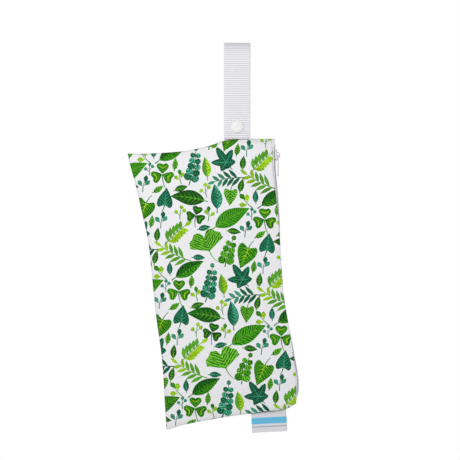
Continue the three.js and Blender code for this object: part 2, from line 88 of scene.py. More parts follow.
# Top and bottom seams from the left edge to the zip
SEAM_COLUMNS = ("share", "top", "bottom")
SEAMS = (
    (0.0, -0.5, 265.5),
    (0.14, 2.2, 262.9),
    (0.4, 4.6, 261.4),
    (0.56, 3.0, 261.2),
    (0.68, 0.3, 261.4),
    (0.84, 1.6, 261.9),
    (0.93, 3.2, 261.2),
    (1.0, 4.6, 258.0),
)

# Soft folds and dents: middle across and down, turn from straight down in degrees, half length, half width,
# and height on the front and back panels
FOLDS = (
    (-30, 36, -42, 34, 9, 0.9, 0.8),
    (12, 44, 8, 30, 8, 0.7, 0.9),
    (-8, 52, -12, 30, 9, -0.8, -0.5),
    (-80, 92, 4, 30, 11, -1.0, -0.9),
    (6, 100, 68, 15, 8, -0.7, -0.5),
    (-48, 140, 58, 36, 11, -0.7, -0.6),
    (-50, 196, 0, 52, 36, 1.1, 0.9),
    (2, 208, 24, 28, 12, -1.3, -0.9),
    (-8, 249, 86, 18, 8, -0.7, -0.4),
    (21, 157, 4, 15, 8, -1.3, -0.8),
    (16, 213, 12, 17, 9, -1.0, -0.7),
)

# Small unevenness of hanging cloth: broad waves in many directions, and puckers along the sewn edges
WAVE_COUNT = 14
WAVE_HEIGHT = 0.11
WAVE_LENGTHS = (22, 58)
WAVE_SEED = 41
PUCKER_HEIGHT = 0.2
PUCKER_LENGTH = 10.5
PUCKER_DEEP = 9.0
PUCKER_STARTS_IN = 1.4
UNEVEN_FROM_SEAMS = 14.0

# How puckers drift along an edge, as reach and length, their strength, as its middle, swing and length,
# and where each edge's puckers start, with their growth
SLOW_DRIFT = (1.7, 17.0)
QUICK_DRIFT = (1.1, 7.3)
PUCKER_STRENGTH = (0.6, 0.4, 29.0)
PUCKERED_EDGES = {"left": (0.4, 1.0), "top": (1.3, 1.0), "bottom": (2.6, 1.0), "zip": (3.5, 1.3)}

# Zip
ZIP_HALF_DEPTH = 5.2
ZIP_END_ROLL = 12
ZIP_BLEND = (0.6, 0.9)
ZIP_FOOT_TUCK = 1.6
ZIP_FOOT_LONG = 12
TAPE_THICK = 0.6
TAPE_THICK_SHARE = 0.95
TAPE_OVERLAP = 6.6
TAPE_END_OVERLAP = 1.6
TAPE_WIDENS_OVER = 12
TAPE_CORNER = 1.4
TAPE_CORNER_SHARE = 0.8
TAPE_CORNER_STEPS = 5
TAPE_HALVES_APART = 0.08
TAPE_PARTED = 0.8
TAPE_PARTS_BELOW = (1.5, 8)
TAPE_MEETS = (-0.02, 0.012)
TAPE_ROW_STEP = 1.5
TAPE_TOP = 0.3
TAPE_FOOT = 0.6
TAPE_CLEAR = 0.2
TAPE_RISE = 0.15
TAPE_LEAST = 0.05
HEM_DEEP = 0.65
TOOTH_PITCH = 1.3
TOOTH_REACH = 2.1
TOOTH_PAST_MIDDLE = 0.5
TOOTH_WIDTH = 0.66
TOOTH_LOW = 0.35
TOOTH_HIGH = 2.0
TOOTH_BEVEL = 0.26
TEETH_START = 2.0
TEETH_SKIPPED = 3
TEETH_FOOT_CLEAR = 6
TEETH_PARTED = 1.2
TEETH_SINK_TOP = (2, 9)
TEETH_SINK_FOOT = (3, 14)
TEETH_HIDDEN = 0.25
SLIDER_BELOW_SEAM = 16.4

# Strap and snap
STRAP_WIDTH = 25.2
STRAP_THICK = 1.5
STRAP_SEWN_IN = 9
STRAP_END_ABOVE_SEAM = -0.1
LOOP_RADIUS = 10.8
LAYER_DEPTH = -5.2
SNAP_DROP = 79
SNAP_FLAT_ABOVE = 9
TAIL_BELOW_SNAP = 6.2
TAIL_BENDS_IN = 1.5

# Label
LABEL_WIDTH = 33.5
LABEL_MIDDLE = -6.5
LABEL_SEWN_IN = 6
LABEL_HANGS = 19
LABEL_TURN = radians(5)
LABEL_THICK = 1.0


# Tables, shares and places

SHARE_PASSES = 8


def table_columns(names, rows):
    return dict(zip(names, np.array(rows, float).T))


sections = table_columns(SECTION_COLUMNS, SECTIONS)
seams = table_columns(SEAM_COLUMNS, SEAMS)


def smooth(table, column, share):
    """A soft curve through a column of the table."""
    shares = table["share"]
    values = table[column]
    padded_shares = np.concatenate(([shares[0]], shares, [shares[-1]]))
    padded_values = np.concatenate(([values[0]], values, [values[-1]]))
    slopes = (padded_values[2:] - padded_values[:-2]) / (padded_shares[2:] - padded_shares[:-2])
    share = np.clip(share, 0.0, 1.0)
    i = np.clip(np.searchsorted(shares, share, side="left") - 1, 0, len(shares) - 2)
    span = shares[i + 1] - shares[i]
    k = (share - shares[i]) / span
    rise = values[i + 1] - values[i]
    start = slopes[i] * span
    end = slopes[i + 1] * span
    return values[i] + k * (start + k * (3 * rise - 2 * start - end + k * (start + end - 2 * rise)))


def smoothstep(value, low, high):
    k = np.clip((value - low) / (high - low), 0.0, 1.0)
    return k * k * (3 - 2 * k)


def roll(distance, over):
    """0 at an edge, rising softly to 1 at the given distance from it."""
    return 1 - (1 - np.clip(distance / over, 0.0, 1.0)) ** 3


def folded(distance, over=FOLDED_EDGE):
    """0 at a folded edge, rising to 1 round the fold."""
    return np.sqrt(1 - (1 - np.clip(distance / over, 0.0, 1.0)) ** 2)


def sides(row):
    """Where the pouch's left and right edges lie."""
    return smooth(sections, "left", row), smooth(sections, "right", row)


def from_seams(row):
    """Distances from the top and bottom seams."""
    return row * POUCH_LENGTH, (1 - row) * POUCH_LENGTH


def shares_at(across, down):
    """Column and row shares of a flat place on the pouch, nearer with each pass."""
    row = np.clip(down / POUCH_LENGTH, 0.0, 1.0)
    for _ in range(SHARE_PASSES):
        left, right = sides(row)
        column = np.clip((across - left) / (right - left), 0.0, 1.0)
        top = smooth(seams, "top", column)
        bottom = smooth(seams, "bottom", column)
        row = np.clip((down - top) / (bottom - top), 0.0, 1.0)
    return column, row


def down_at(column, row):
    top = smooth(seams, "top", column)
    return top + (smooth(seams, "bottom", column) - top) * row


def flat_places(column, row):
    """Places across and down at shares of the pouch."""
    left, right = sides(row)
    return np.stack([left + (right - left) * column, down_at(column, row)], axis=-1)


def zip_depth(row):
    """How far the cloth's zip edge stands from the seam plane."""
    from_top, from_bottom = from_seams(row)
    return ZIP_HALF_DEPTH * (roll(from_top, ZIP_END_ROLL) * roll(from_bottom, ZIP_END_ROLL))


def zip_end_opening(column, row):
    """How far the seam parts at the zip's ends for the tape sewn into it."""
    from_top, from_bottom = from_seams(row)
    near_top = 1 - roll(from_top, ZIP_END_DEEP)
    near_bottom = 1 - roll(from_bottom, ZIP_END_DEEP)
    return ZIP_END_OPEN * smoothstep(column, *ZIP_END_COLUMNS) * (near_top + near_bottom)


def seam_opening(across, from_seam, middle, width, thick):
    """How far a seam parts for a piece that is sewn into it."""
    past = np.abs(across - middle) - width / 2 - SEAM_OPEN_PAST
    beside_piece = 1 - smoothstep(past, 0.0, SEAM_CLOSE_OVER)
    return (thick / 2 + PIECE_GAP - SEAM_GAP / 2) * beside_piece * (1 - roll(from_seam, SEAM_OPEN_DEEP))


def fold_height(across, down, side):
    """Height of all folds and dents at a place."""
    height = np.zeros_like(across)
    for middle, low, turn, long, wide, front, back in FOLDS:
        angle = radians(turn)
        along_fold = ((across - middle) * sin(angle) + (down - low) * cos(angle)) / long
        over_fold = ((across - middle) * cos(angle) - (down - low) * sin(angle)) / wide
        height += (front if side == FRONT else back) * np.exp(-(along_fold**2) - over_fold**2)
    return height


wave_draw = np.random.default_rng(WAVE_SEED)
wave_turns = wave_draw.uniform(0, pi, WAVE_COUNT)
wave_lengths = wave_draw.uniform(*WAVE_LENGTHS, WAVE_COUNT)
wave_starts = wave_draw.uniform(0, 2 * pi, WAVE_COUNT)


def waves(across, down, side):
    height = np.zeros_like(across)
    for turn, length, start in zip(wave_turns, wave_lengths, wave_starts):
        along_wave = across * cos(turn) + down * sin(turn)
        height += np.sin(2 * pi * along_wave / length + start * side)
    return WAVE_HEIGHT * height


def puckers(edge, along_edge, from_edge):
    """Short ripples that run into the cloth from a sewn edge."""
    start, growth = PUCKERED_EDGES[edge]
    slow_reach, slow_length = SLOW_DRIFT
    quick_reach, quick_length = QUICK_DRIFT
    drift = slow_reach * np.sin(along_edge / slow_length + start)
    drift = drift + quick_reach * np.sin(along_edge / quick_length + 2 * start)
    usual, varied, length = PUCKER_STRENGTH
    strength = usual + varied * np.sin(along_edge / length + 3 * start)
    fade = np.exp(-from_edge / PUCKER_DEEP) * (1 - np.exp(-from_edge / PUCKER_STARTS_IN))
    ripple = np.sin(2 * pi * along_edge / PUCKER_LENGTH + drift)
    return growth * (PUCKER_HEIGHT * strength * fade * ripple)


def edge_puff(from_zip, row):
    """How far the cloth swells inside its zip edge, less near the seams."""
    from_top, from_bottom = from_seams(row)
    ends = folded(from_top, EDGE_ROUND) * folded(from_bottom, EDGE_ROUND)
    return EDGE_PUFF * folded(from_zip, ZIP_EDGE_ROUND) * ends


def panel_depths(across, down, side):
    """How far a panel's inner and outer faces stand from the seam plane."""
    column, row = shares_at(across, down)
    left, right = sides(row)
    from_left = across - left
    from_zip = right - across
    from_top, from_bottom = from_seams(row)
    edges = roll(from_top, EDGE_ROLL) * roll(from_bottom, EDGE_ROLL) * roll(from_left, EDGE_ROLL)
    swell = smooth(sections, "front" if side == FRONT else "back", row) + fold_height(across, down, side)
    body = swell * edges
    body = body + (zip_depth(row) - body) * smoothstep(column, *ZIP_BLEND)
    parted = seam_opening(across, from_top, 0.0, STRAP_WIDTH, STRAP_THICK)
    parted = parted + seam_opening(across, from_bottom, LABEL_MIDDLE, LABEL_WIDTH, LABEL_THICK)
    seam_wall = folded(from_left) * folded(from_top) * folded(from_bottom)
    wall = seam_wall * folded(from_zip)
    uneven = waves(across, down, side)
    uneven = uneven + puckers("left", down, from_left) + puckers("top", across, from_top)
    uneven = uneven + puckers("bottom", across, from_bottom) + puckers("zip", down, from_zip)
    from_seam = np.minimum(np.minimum(from_left, from_top), from_bottom)
    uneven = uneven * roll(from_seam, UNEVEN_FROM_SEAMS)
    puff = edge_puff(from_zip, row) * folded(from_left, EDGE_ROUND)
    inner = SEAM_GAP / 2 + body + puff + parted + zip_end_opening(column, row)
    inner = inner - SEAM_TUCK * (1 - seam_wall)
    return inner, inner + (CLOTH_THICK + uneven) * wall


def outer_depth(across, down, side):
    return panel_depths(across, down, side)[1]


pouch_matrix = Matrix.Translation((0, 0, -POUCH_DROP * MM)) @ Matrix.Rotation(-POUCH_TILT, 4, "Y")
pouch_turn = np.array(pouch_matrix.to_3x3())


def in_pouch(across, depth, down):
    """World points, in metres, of places in the pouch's frame."""
    local = np.stack([across, depth, -np.asarray(down)], axis=-1) * MM
    return local @ pouch_turn.T + np.array(pouch_matrix.translation)


# Leaf print. A motif is a list of (ink, outline), later ones on top, with its foot at the origin.

INKS = {
    "deep": (16, 92, 6),
    "leaf": (50, 134, 8),
    "fresh": (90, 166, 38),
    "teal": (10, 100, 66),
    "sea": (62, 154, 120),
    "lime": (154, 206, 24),
}
FULLEST = 0.42
VEIN_LEAN = 0.13
VEIN_REACH = 0.74
CORNER_CUT = 0.25
STRAIGHT_BELOW = 1e-6


def along(length, bend, share):
    """Place and heading, from straight up, at a share of a stalk that bends evenly."""
    heading = bend * share
    if abs(bend) < STRAIGHT_BELOW:
        return (0.0, length * share), heading
    radius = length / bend
    return (radius * (1 - cos(heading)), radius * sin(heading)), heading


def beside(length, bend, share, offset):
    """The point at an offset to the right of a place on the stalk."""
    (x, y), heading = along(length, bend, share)
    return (x + offset * cos(heading), y - offset * sin(heading))


def spaced(count, first, span):
    """Shares of a stalk at which leaves or veins leave it."""
    return [first + span * i / count for i in range(count)]


def placed(shapes, x, y, turn=0.0, flip=1):
    """Shapes flipped, turned clockwise, then moved."""
    c = cos(turn)
    s = sin(turn)
    result = []
    for ink, outline in shapes:
        points = [(x + c * flip * px + s * py, y - s * flip * px + c * py) for px, py in outline]
        result.append((ink, points))
    return result


def on_stalk(shapes, length, bend, share, turn=0.0):
    """Shapes with their foot at a share of a stalk, turned from its heading."""
    (x, y), heading = along(length, bend, share)
    return placed(shapes, x, y, heading + turn)


def blade_half(width, share, fullest=FULLEST):
    """Half a pointed leaf's width at a share of its length."""
    return width / 2 * sin(pi * share ** (log(0.5) / log(fullest)))


def blade(length, width, bend=0.0, fullest=FULLEST, steps=14, part=(-1, 1)):
    """A pointed leaf. part says how far it reaches to the left and right of its rib."""
    left, right = part
    shares = [i / steps for i in range(steps + 1)]
    up = [beside(length, bend, k, right * blade_half(width, k, fullest)) for k in shares]
    down = [beside(length, bend, k, left * blade_half(width, k, fullest)) for k in shares[1:-1]]
    return up + down[::-1]


def strip(length, bend=0.0, foot=0.9, tip=0.5, start=0.0, end=1.0, steps=6):
    """A thin tapering line along a stalk."""
    shares = [start + (end - start) * i / steps for i in range(steps + 1)]
    widths = [foot + (tip - foot) * i / steps for i in range(steps + 1)]
    up = [beside(length, bend, k, w / 2) for k, w in zip(shares, widths)]
    down = [beside(length, bend, k, -w / 2) for k, w in zip(shares, widths)]
    return up + down[::-1]


def oval(half_width, half_height, rise, corners):
    """A round leaf or berry with its middle above its foot."""
    ring = [2 * pi * i / corners for i in range(corners)]
    return [(half_width * sin(a), rise - half_height * cos(a)) for a in ring]


def rounded(outline, passes=2):
    """The outline with its corners cut, pass by pass."""
    points = np.array(outline)
    far = 1 - CORNER_CUT
    for _ in range(passes):
        ahead = np.roll(points, -1, axis=0)
        cuts = [far * points + CORNER_CUT * ahead, CORNER_CUT * points + far * ahead]
        points = np.stack(cuts, axis=1).reshape(-1, 2)
    return [tuple(p) for p in points]


def side_veins(inks, length, width, bend, pairs, thick=0.62):
    """Slim veins that leave the rib in pairs and lean to the tip, in an ink for each side."""
    shapes = []
    for start in spaced(pairs, first=0.14, span=0.62):
        end = start + VEIN_LEAN
        half = blade_half(width, end) * VEIN_REACH
        low = beside(length, bend, start - thick / length, 0)
        high = beside(length, bend, start + thick / length, 0)
        for side, ink in zip((-1, 1), inks):
            shapes.append((ink, [low, beside(length, bend, end, side * half), high]))
    return shapes


def laurel(length, width, body, vein, bend=0.25, pairs=6):
    """One broad leaf with a pale rib and side veins."""
    shapes = [(body, blade(length, width, bend))]
    shapes.append((vein, strip(length, bend, tip=0.3, start=-0.1, end=0.93)))
    return shapes + side_veins((vein, vein), length, width, bend, pairs)


def halved(length, width, light, dark, bend=0.2, pairs=5):
    """One leaf with a light and a dark half, each veined in the other's ink."""
    shapes = [(light, blade(length, width, bend, part=(0, 1)))]
    shapes.append((dark, blade(length, width, bend, part=(-1, 0))))
    shapes.append((dark, strip(length, bend, foot=1.0, tip=0.6, start=-0.16, end=0.02, steps=2)))
    return shapes + side_veins((light, dark), length, width, bend, pairs, thick=0.45)


def willow(length, ink, tip_ink, bend, leaves, leaf):
    """A twig with slim leaves on alternate sides and one at its end."""
    splay = 0.66
    shorter = 0.45
    tip_leaves = 3
    shapes = [(ink, strip(length, bend))]
    for i, share in enumerate(spaced(leaves, first=0.14, span=0.8)):
        side = 1 if i % 2 else -1
        shade = tip_ink if i >= leaves - tip_leaves else ink
        slim = blade(leaf * (1.0 - shorter * share), width=3.1, bend=0.3 * side, fullest=0.45, steps=7)
        shapes += on_stalk([(shade, slim)], length, bend, share, side * splay)
    last = blade(length=leaf * 0.62, width=2.8, fullest=0.45, steps=7)
    return shapes + on_stalk([(tip_ink, last)], length, bend, share=0.98)


def coin_branch(length, ink, pale, bend, pairs, coin):
    """A stem with round leaves in pairs that grow smaller to the tip."""
    splay = 1.05
    smaller = 0.4
    shapes = [(ink, strip(length, bend, foot=1.0))]
    for i, share in enumerate(spaced(pairs, first=0.16, span=0.84) + [1.0]):
        size = coin * (1.0 - smaller * i / pairs)
        disc = oval(half_width=0.46 * size, half_height=0.5 * size, rise=0.55 * size, corners=18)
        crease = strip(length=size * 0.8, foot=0.5, tip=0.2, steps=1)
        for side in (-1, 1) if i < pairs else (0,):
            shade = pale if (i + (side > 0)) % 2 else ink
            mark = ink if shade == pale else pale
            shapes += on_stalk([(shade, disc), (mark, crease)], length, bend, share, side * splay)
    return shapes


def notched(length, width):
    """A heart-shaped leaflet with its notch at the top."""
    profile = ((0.0, 0.0), (0.2, 0.34), (0.42, 0.74), (0.62, 0.97), (0.78, 1.0), (0.91, 0.82), (0.98, 0.5))
    right = [(width / 2 * wide, length * up) for up, wide in profile]
    left = [(-x, y) for x, y in right[1:]]
    notch = (0.0, 0.86 * length)
    return rounded(right + [notch] + left[::-1])


def clover(size, ink, pale):
    """Three notched leaflets with a pale chevron each, on a stalk."""
    shapes = [(ink, strip(0.72 * size, bend=0.5, foot=0.5, tip=1.0, start=-1.0, end=0.0, steps=5))]
    half_chevron = ((0.0, 0.26), (0.17, 0.36), (0.17, 0.41), (0.0, 0.32))
    mirrored = ((-0.17, 0.41), (-0.17, 0.36))
    chevron = [(x * size, y * size) for x, y in half_chevron + mirrored]
    leaflet = notched(length=0.54 * size, width=0.58 * size)
    splay = 1.98
    for turn in (-splay, 0.0, splay):
        shapes += placed([(ink, leaflet), (pale, chevron)], 0, 0, turn)
    return shapes


def ginkgo(size, ink, vein):
    """A fan with a notched, wavy rim and fine veins, on a thin stalk."""
    shapes = [(ink, strip(0.62 * size, bend=0.7, foot=0.45, tip=1.0, start=-1.0, end=0.05, steps=5))]
    spread = radians(64)
    notch_spread = radians(7)
    notch_deep = 0.34
    wave_deep = 0.03
    waves_round = 15
    middle_reach = 0.94
    corner_drop = 0.10
    steps = 26
    rim = []
    for i in range(steps + 1):
        angle = spread * (2 * i / steps - 1)
        notch = notch_deep * exp(-((angle / notch_spread) ** 2))
        wave = wave_deep * cos(angle * waves_round)
        reach = size * (middle_reach + wave - notch - corner_drop * (angle / spread) ** 2)
        rim.append((reach * sin(angle), reach * cos(angle)))
    shapes.append((ink, [(0.0, 0.0)] + rim))
    first_vein = 0.35
    veins_to_rim = 5.2
    for i in range(1, 6):
        line = strip(size, foot=0.15, tip=0.62, start=0.26, end=0.78 - 0.02 * i, steps=1)
        for side in (-1, 1):
            shapes += placed([(vein, line)], 0, 0, side * spread * (i - first_vein) / veins_to_rim)
    return shapes


def ivy(size, ink, vein):
    """A five-pointed leaf with a rib to each point."""
    lobes = ((-118, 0.52), (-58, 0.8), (0, 1.0), (58, 0.8), (118, 0.52))
    lobe_spread = 34.0
    lobe_power = 1.25
    waist = 0.34
    foot_from = 150
    foot_to = 172
    foot_cut = 0.55
    outline = []
    for degrees in range(-foot_to, foot_to + 1, 6):
        into_foot = max(abs(degrees) - foot_from, 0)
        reach = waist * (1.0 - foot_cut * into_foot / (foot_to - foot_from))
        for lobe, long in lobes:
            near = max(0.0, 1.0 - abs(degrees - lobe) / lobe_spread)
            reach = max(reach, waist + (long - waist) * near**lobe_power)
        outline.append((size * reach * sin(radians(degrees)), size * reach * cos(radians(degrees))))
    shapes = [(ink, strip(0.5 * size, bend=0.4, foot=0.6, tip=1.0, start=-1.0, end=0.1, steps=4))]
    shapes.append((ink, rounded(outline, passes=1)))
    for lobe, long in lobes:
        rib = strip(size * long, tip=0.25, end=0.8, steps=1)
        shapes += placed([(vein, rib)], 0, 0, radians(lobe))
    return shapes


def olive(length, ink, pale, bend, pairs, leaf):
    """A sprig with lens-shaped leaves in pairs."""
    splay = 0.82
    shorter = 0.35
    shapes = [(ink, strip(length, bend))]
    for share in spaced(pairs, first=0.16, span=0.76):
        lens = blade(leaf * (1.0 - shorter * share), width=3.6, fullest=0.5, steps=7)
        for side, shade in ((-1, ink), (1, pale)):
            shapes += on_stalk([(shade, lens)], length, bend, share, side * splay)
    last = blade(length=leaf * 0.75, width=3.3, fullest=0.5, steps=7)
    return shapes + on_stalk([(pale, last)], length, bend, share=0.97)


def heart(size, ink, vein):
    """A broad heart-shaped leaf with a drawn-out tip."""
    half = 0.46 * size
    half_vein = 0.4
    profile = (
        (-0.1, 0.42), (-0.16, 0.66), (-0.11, 0.88), (0.02, 0.99), (0.2, 0.98), (0.4, 0.82),
        (0.6, 0.57), (0.78, 0.31), (0.91, 0.12),
    )
    right = [(half * wide, size * up) for up, wide in profile]
    left = [(-x, y) for x, y in right]
    outline = rounded([(0.0, 0.0)] + right + [(0.0, size), (0.0, size)] + left[::-1])
    shapes = [(ink, strip(0.45 * size, bend=-0.5, foot=0.5, tip=1.0, start=-1.0, end=0.05, steps=4))]
    shapes.append((ink, outline))
    shapes.append((vein, strip(size, tip=0.25, end=0.9, steps=1)))
    for start, reach, rise in ((0.03, 0.66, 0.06), (0.16, 0.66, 0.2), (0.33, 0.5, 0.2), (0.5, 0.33, 0.18)):
        low = (0.0, size * start - half_vein)
        high = (0.0, size * start + half_vein)
        for side in (-1, 1):
            shapes.append((vein, [low, (side * half * reach, size * (start + rise)), high]))
    return shapes


def berries(size, ink, pale):
    """A forked stalk with a round berry on each twig."""
    stalk = 0.8 * size
    bend = 0.2
    radius = 0.15 * size
    shapes = [(ink, strip(stalk, bend, foot=0.7, steps=4))]
    for share, turn, long in ((0.35, -0.8, 0.3), (0.55, 0.75, 0.3), (0.98, 0.1, 0.06)):
        twig = strip(long * size, foot=0.5, tip=0.4, steps=1)
        berry = oval(radius, radius, rise=long * size + 0.8 * radius, corners=14)
        shapes += on_stalk([(ink, twig), (pale, berry)], stalk, bend, share, turn)
    return shapes


def buds(size, ink, pale):
    """A short sprig with three drop-shaped buds."""
    shapes = [(ink, strip(0.9 * size, bend=0.3, foot=0.8, start=-0.35, end=0.55, steps=4))]
    for x, y, turn, shade in ((-0.05, 0.1, -0.75, pale), (0.05, 0.2, 0.75, pale), (0.08, 0.42, 0.12, ink)):
        drop = blade(0.62 * size, width=0.36 * size, fullest=0.62, steps=7)
        shapes += placed([(shade, drop)], x * size, y * size, turn)
    return shapes


MOTIFS = {
    "laurel": laurel(34, 14.4, "leaf", "fresh"),
    "dark laurel": laurel(30, 13, "deep", "fresh", -0.3, 5),
    "seed leaf": laurel(12, 5.4, "deep", "fresh", 0.2, 3),
    "fresh seed leaf": laurel(10.5, 5, "fresh", "leaf", -0.2, 3),
    "teal seed leaf": laurel(11, 5, "teal", "sea", 0.2, 3),
    "halved": halved(28, 11.6, "leaf", "deep"),
    "lime halved": halved(18, 7.8, "lime", "fresh", -0.15, 4),
    "teal halved": halved(22, 10, "sea", "teal", -0.25),
    "willow": willow(29, "fresh", "lime", 0.35, 9, 13.0),
    "teal willow": willow(26, "teal", "sea", -0.4, 8, 12.0),
    "coins": coin_branch(30, "teal", "sea", -0.3, 5, 7.0),
    "green coins": coin_branch(24, "leaf", "fresh", 0.35, 4, 7.2),
    "clover": clover(18.3, "leaf", "lime"),
    "deep clover": clover(15.3, "deep", "fresh"),
    "ginkgo": ginkgo(20.5, "fresh", "leaf"),
    "ivy": ivy(16.5, "teal", "sea"),
    "olive": olive(24, "fresh", "lime", 0.3, 5, 10.5),
    "heart": heart(18.8, "leaf", "lime"),
    "teal heart": heart(15, "teal", "sea"),
    "fresh heart": heart(13, "fresh", "leaf"),
    "buds": buds(12, "leaf", "lime"),
    "small buds": buds(9.5, "leaf", "lime"),
    "teal buds": buds(11, "teal", "sea"),
    "berries": berries(11.5, "leaf", "lime"),
    "teal berries": berries(10, "teal", "sea"),
}

# The repeat, with alternate columns dropped by half: each motif's foot, turn in degrees and flip
REPEAT_WIDTH = 90
REPEAT_HEIGHT = 112
REPEAT_COLUMNS = range(-3, 4)
REPEAT_ROWS = range(-4, 4)
MOTIF_GROWTH = 1.1
CHART = (
    ("laurel", 3, 12, 62, 1),
    ("teal buds", 29, 2, 16, 1),
    ("clover", 49, 12, 10, 1),
    ("small buds", 65, 4, -6, 1),
    ("coins", 73, 0, 28, 1),
    ("buds", 36, 28, -40, 1),
    ("halved", 49, 26, 62, 1),
    ("willow", 63, 40, -66, 1),
    ("ginkgo", 83, 46, -12, 1),
    ("teal halved", 6, 29, 8, 1),
    ("fresh heart", 21, 43, -168, 1),
    ("teal willow", 34, 54, -78, 1),
    ("lime halved", 1, 60, 4, 1),
    ("ivy", 20, 71, -24, 1),
    ("olive", 43.5, 58.5, 46, 1),
    ("deep clover", 75, 81, 24, 1),
    ("small buds", 87, 77.6, 16, -1),
    ("dark laurel", 84, 94, -66, 1),
    ("teal buds", 41, 77.6, 12, 1),
    ("heart", 29.8, 98.6, -150, 1),
    ("green coins", 6, 86, 14, 1),
    ("teal heart", 47, 95.5, 16, 1),
    ("seed leaf", 13, 6.4, 100, 1),
    ("teal berries", 37, 13.4, 0, 1),
    ("fresh seed leaf", 61, 15, 18, 1),
    ("teal seed leaf", 43, 29.5, 2, 1),
    ("teal seed leaf", 67, 42, 95, 1),
    ("seed leaf", 35, 62.5, 8, 1),
    ("berries", 59.5, 79.5, 8, 1),
    ("fresh seed leaf", 31, 76.5, 22, 1),
    ("seed leaf", 59, 107.3, 75, 1),
    ("fresh seed leaf", 38.5, 108.5, 70, 1),
    ("teal seed leaf", 76, 67.6, 80, 1),
    ("berries", 87.5, 97, -6, 1),
    ("seed leaf", 29.5, 41.5, 16, 1),
)

# Where each panel's repeat starts, and the flat box that the cloth lies in
PRINT_START = {FRONT: (-34, 20), BACK: (11, -27)}
PRINT_ACROSS = (-110, 40)
PRINT_DOWN = (-4, 270)


def grown(shapes):
    """A motif scaled about its middle."""
    every = np.concatenate([outline for _, outline in shapes])
    middle = (every.min(axis=0) + every.max(axis=0)) / 2
    return [(ink, middle + MOTIF_GROWTH * (np.array(outline) - middle)) for ink, outline in shapes]


def may_print(flat):
    """Whether an outline reaches into the box that the cloth lies in."""
    low = flat.min(axis=0)
    high = flat.max(axis=0)
    left, right = PRINT_ACROSS
    top, bottom = PRINT_DOWN
    return high[0] > left and low[0] < right and high[1] > top and low[1] < bottom


def printed_shapes(side):
    """All inked outlines that may lie on a panel, as (ink, flat points), in their order of printing."""
    repeat = []
    for name, x, y, turn, flip in CHART:
        repeat += grown(placed(MOTIFS[name], x, y, radians(turn), flip))
    start_x, start_y = PRINT_START[side]
    shapes = []
    for column in REPEAT_COLUMNS:
        drop = REPEAT_HEIGHT / 2 if column % 2 else 0
        for row in REPEAT_ROWS:
            dx = start_x + column * REPEAT_WIDTH
            dy = start_y + row * REPEAT_HEIGHT + drop
            for ink, outline in repeat:
                flat = np.array([(-side * (px + dx), -(py + dy)) for px, py in outline])
                if may_print(flat):
                    shapes.append((ink, flat))
    return shapes


# Materials

WHITE = (1, 1, 1, 1)
MAP_SCALE = 100.0

# Knit pitches, how the knit and slubs shade the cloth, and how far the brush shades the ink
WALE_PITCH = 0.62
COURSE_PITCH = 0.5
COURSE_HEIGHT = 0.6
KNIT_SHADES = (0.93, 1.0)
SLUB_SCALE = 0.7
SLUB_SHADE = 0.18
BRUSH_STRETCH = (1.6, 0.5, 1.0)
INK_STROKES = 0.4
INK_POOLS = (0.62, 1.38)
INK_LEAST = 0.25
STROKE_LEAN = 0.85
STROKE_WANDER = 0.7
STROKE_EDGES = (0.4, 0.8)
STROKE_DEEP = 1.45

# Webbing ribs of short floats, how their weave and fuzz shade them, and the painted shade in the grooves
# between ribs
RIB_PITCH = 2.0
FLOAT_PITCH = 1.15
FUZZ_HEIGHT = 0.5
GROOVE_SHADE_POWER = 0.8
WEAVE_SHADE = 0.25
WEAVE_LEAST = 0.6

# Zigzag twill of the zip's tape, and the label's bands: from and to along it, dark and light
TWILL_WIDTH = 0.9
TWILL_PITCH = 0.55
LABEL_BANDS = (
    (5.2, 11.2, (84, 178, 218), (112, 200, 234)),
    (13.4, 14.3, (150, 152, 160), (172, 174, 181)),
)


def linear(rgb):
    """Linear colour of a display colour from 0 to 255."""
    values = np.array(rgb) / 255.0
    result = np.where(values <= 0.04045, values / 12.92, ((values + 0.055) / 1.055) ** 2.4)
    return (*[float(v) for v in result], 1.0)


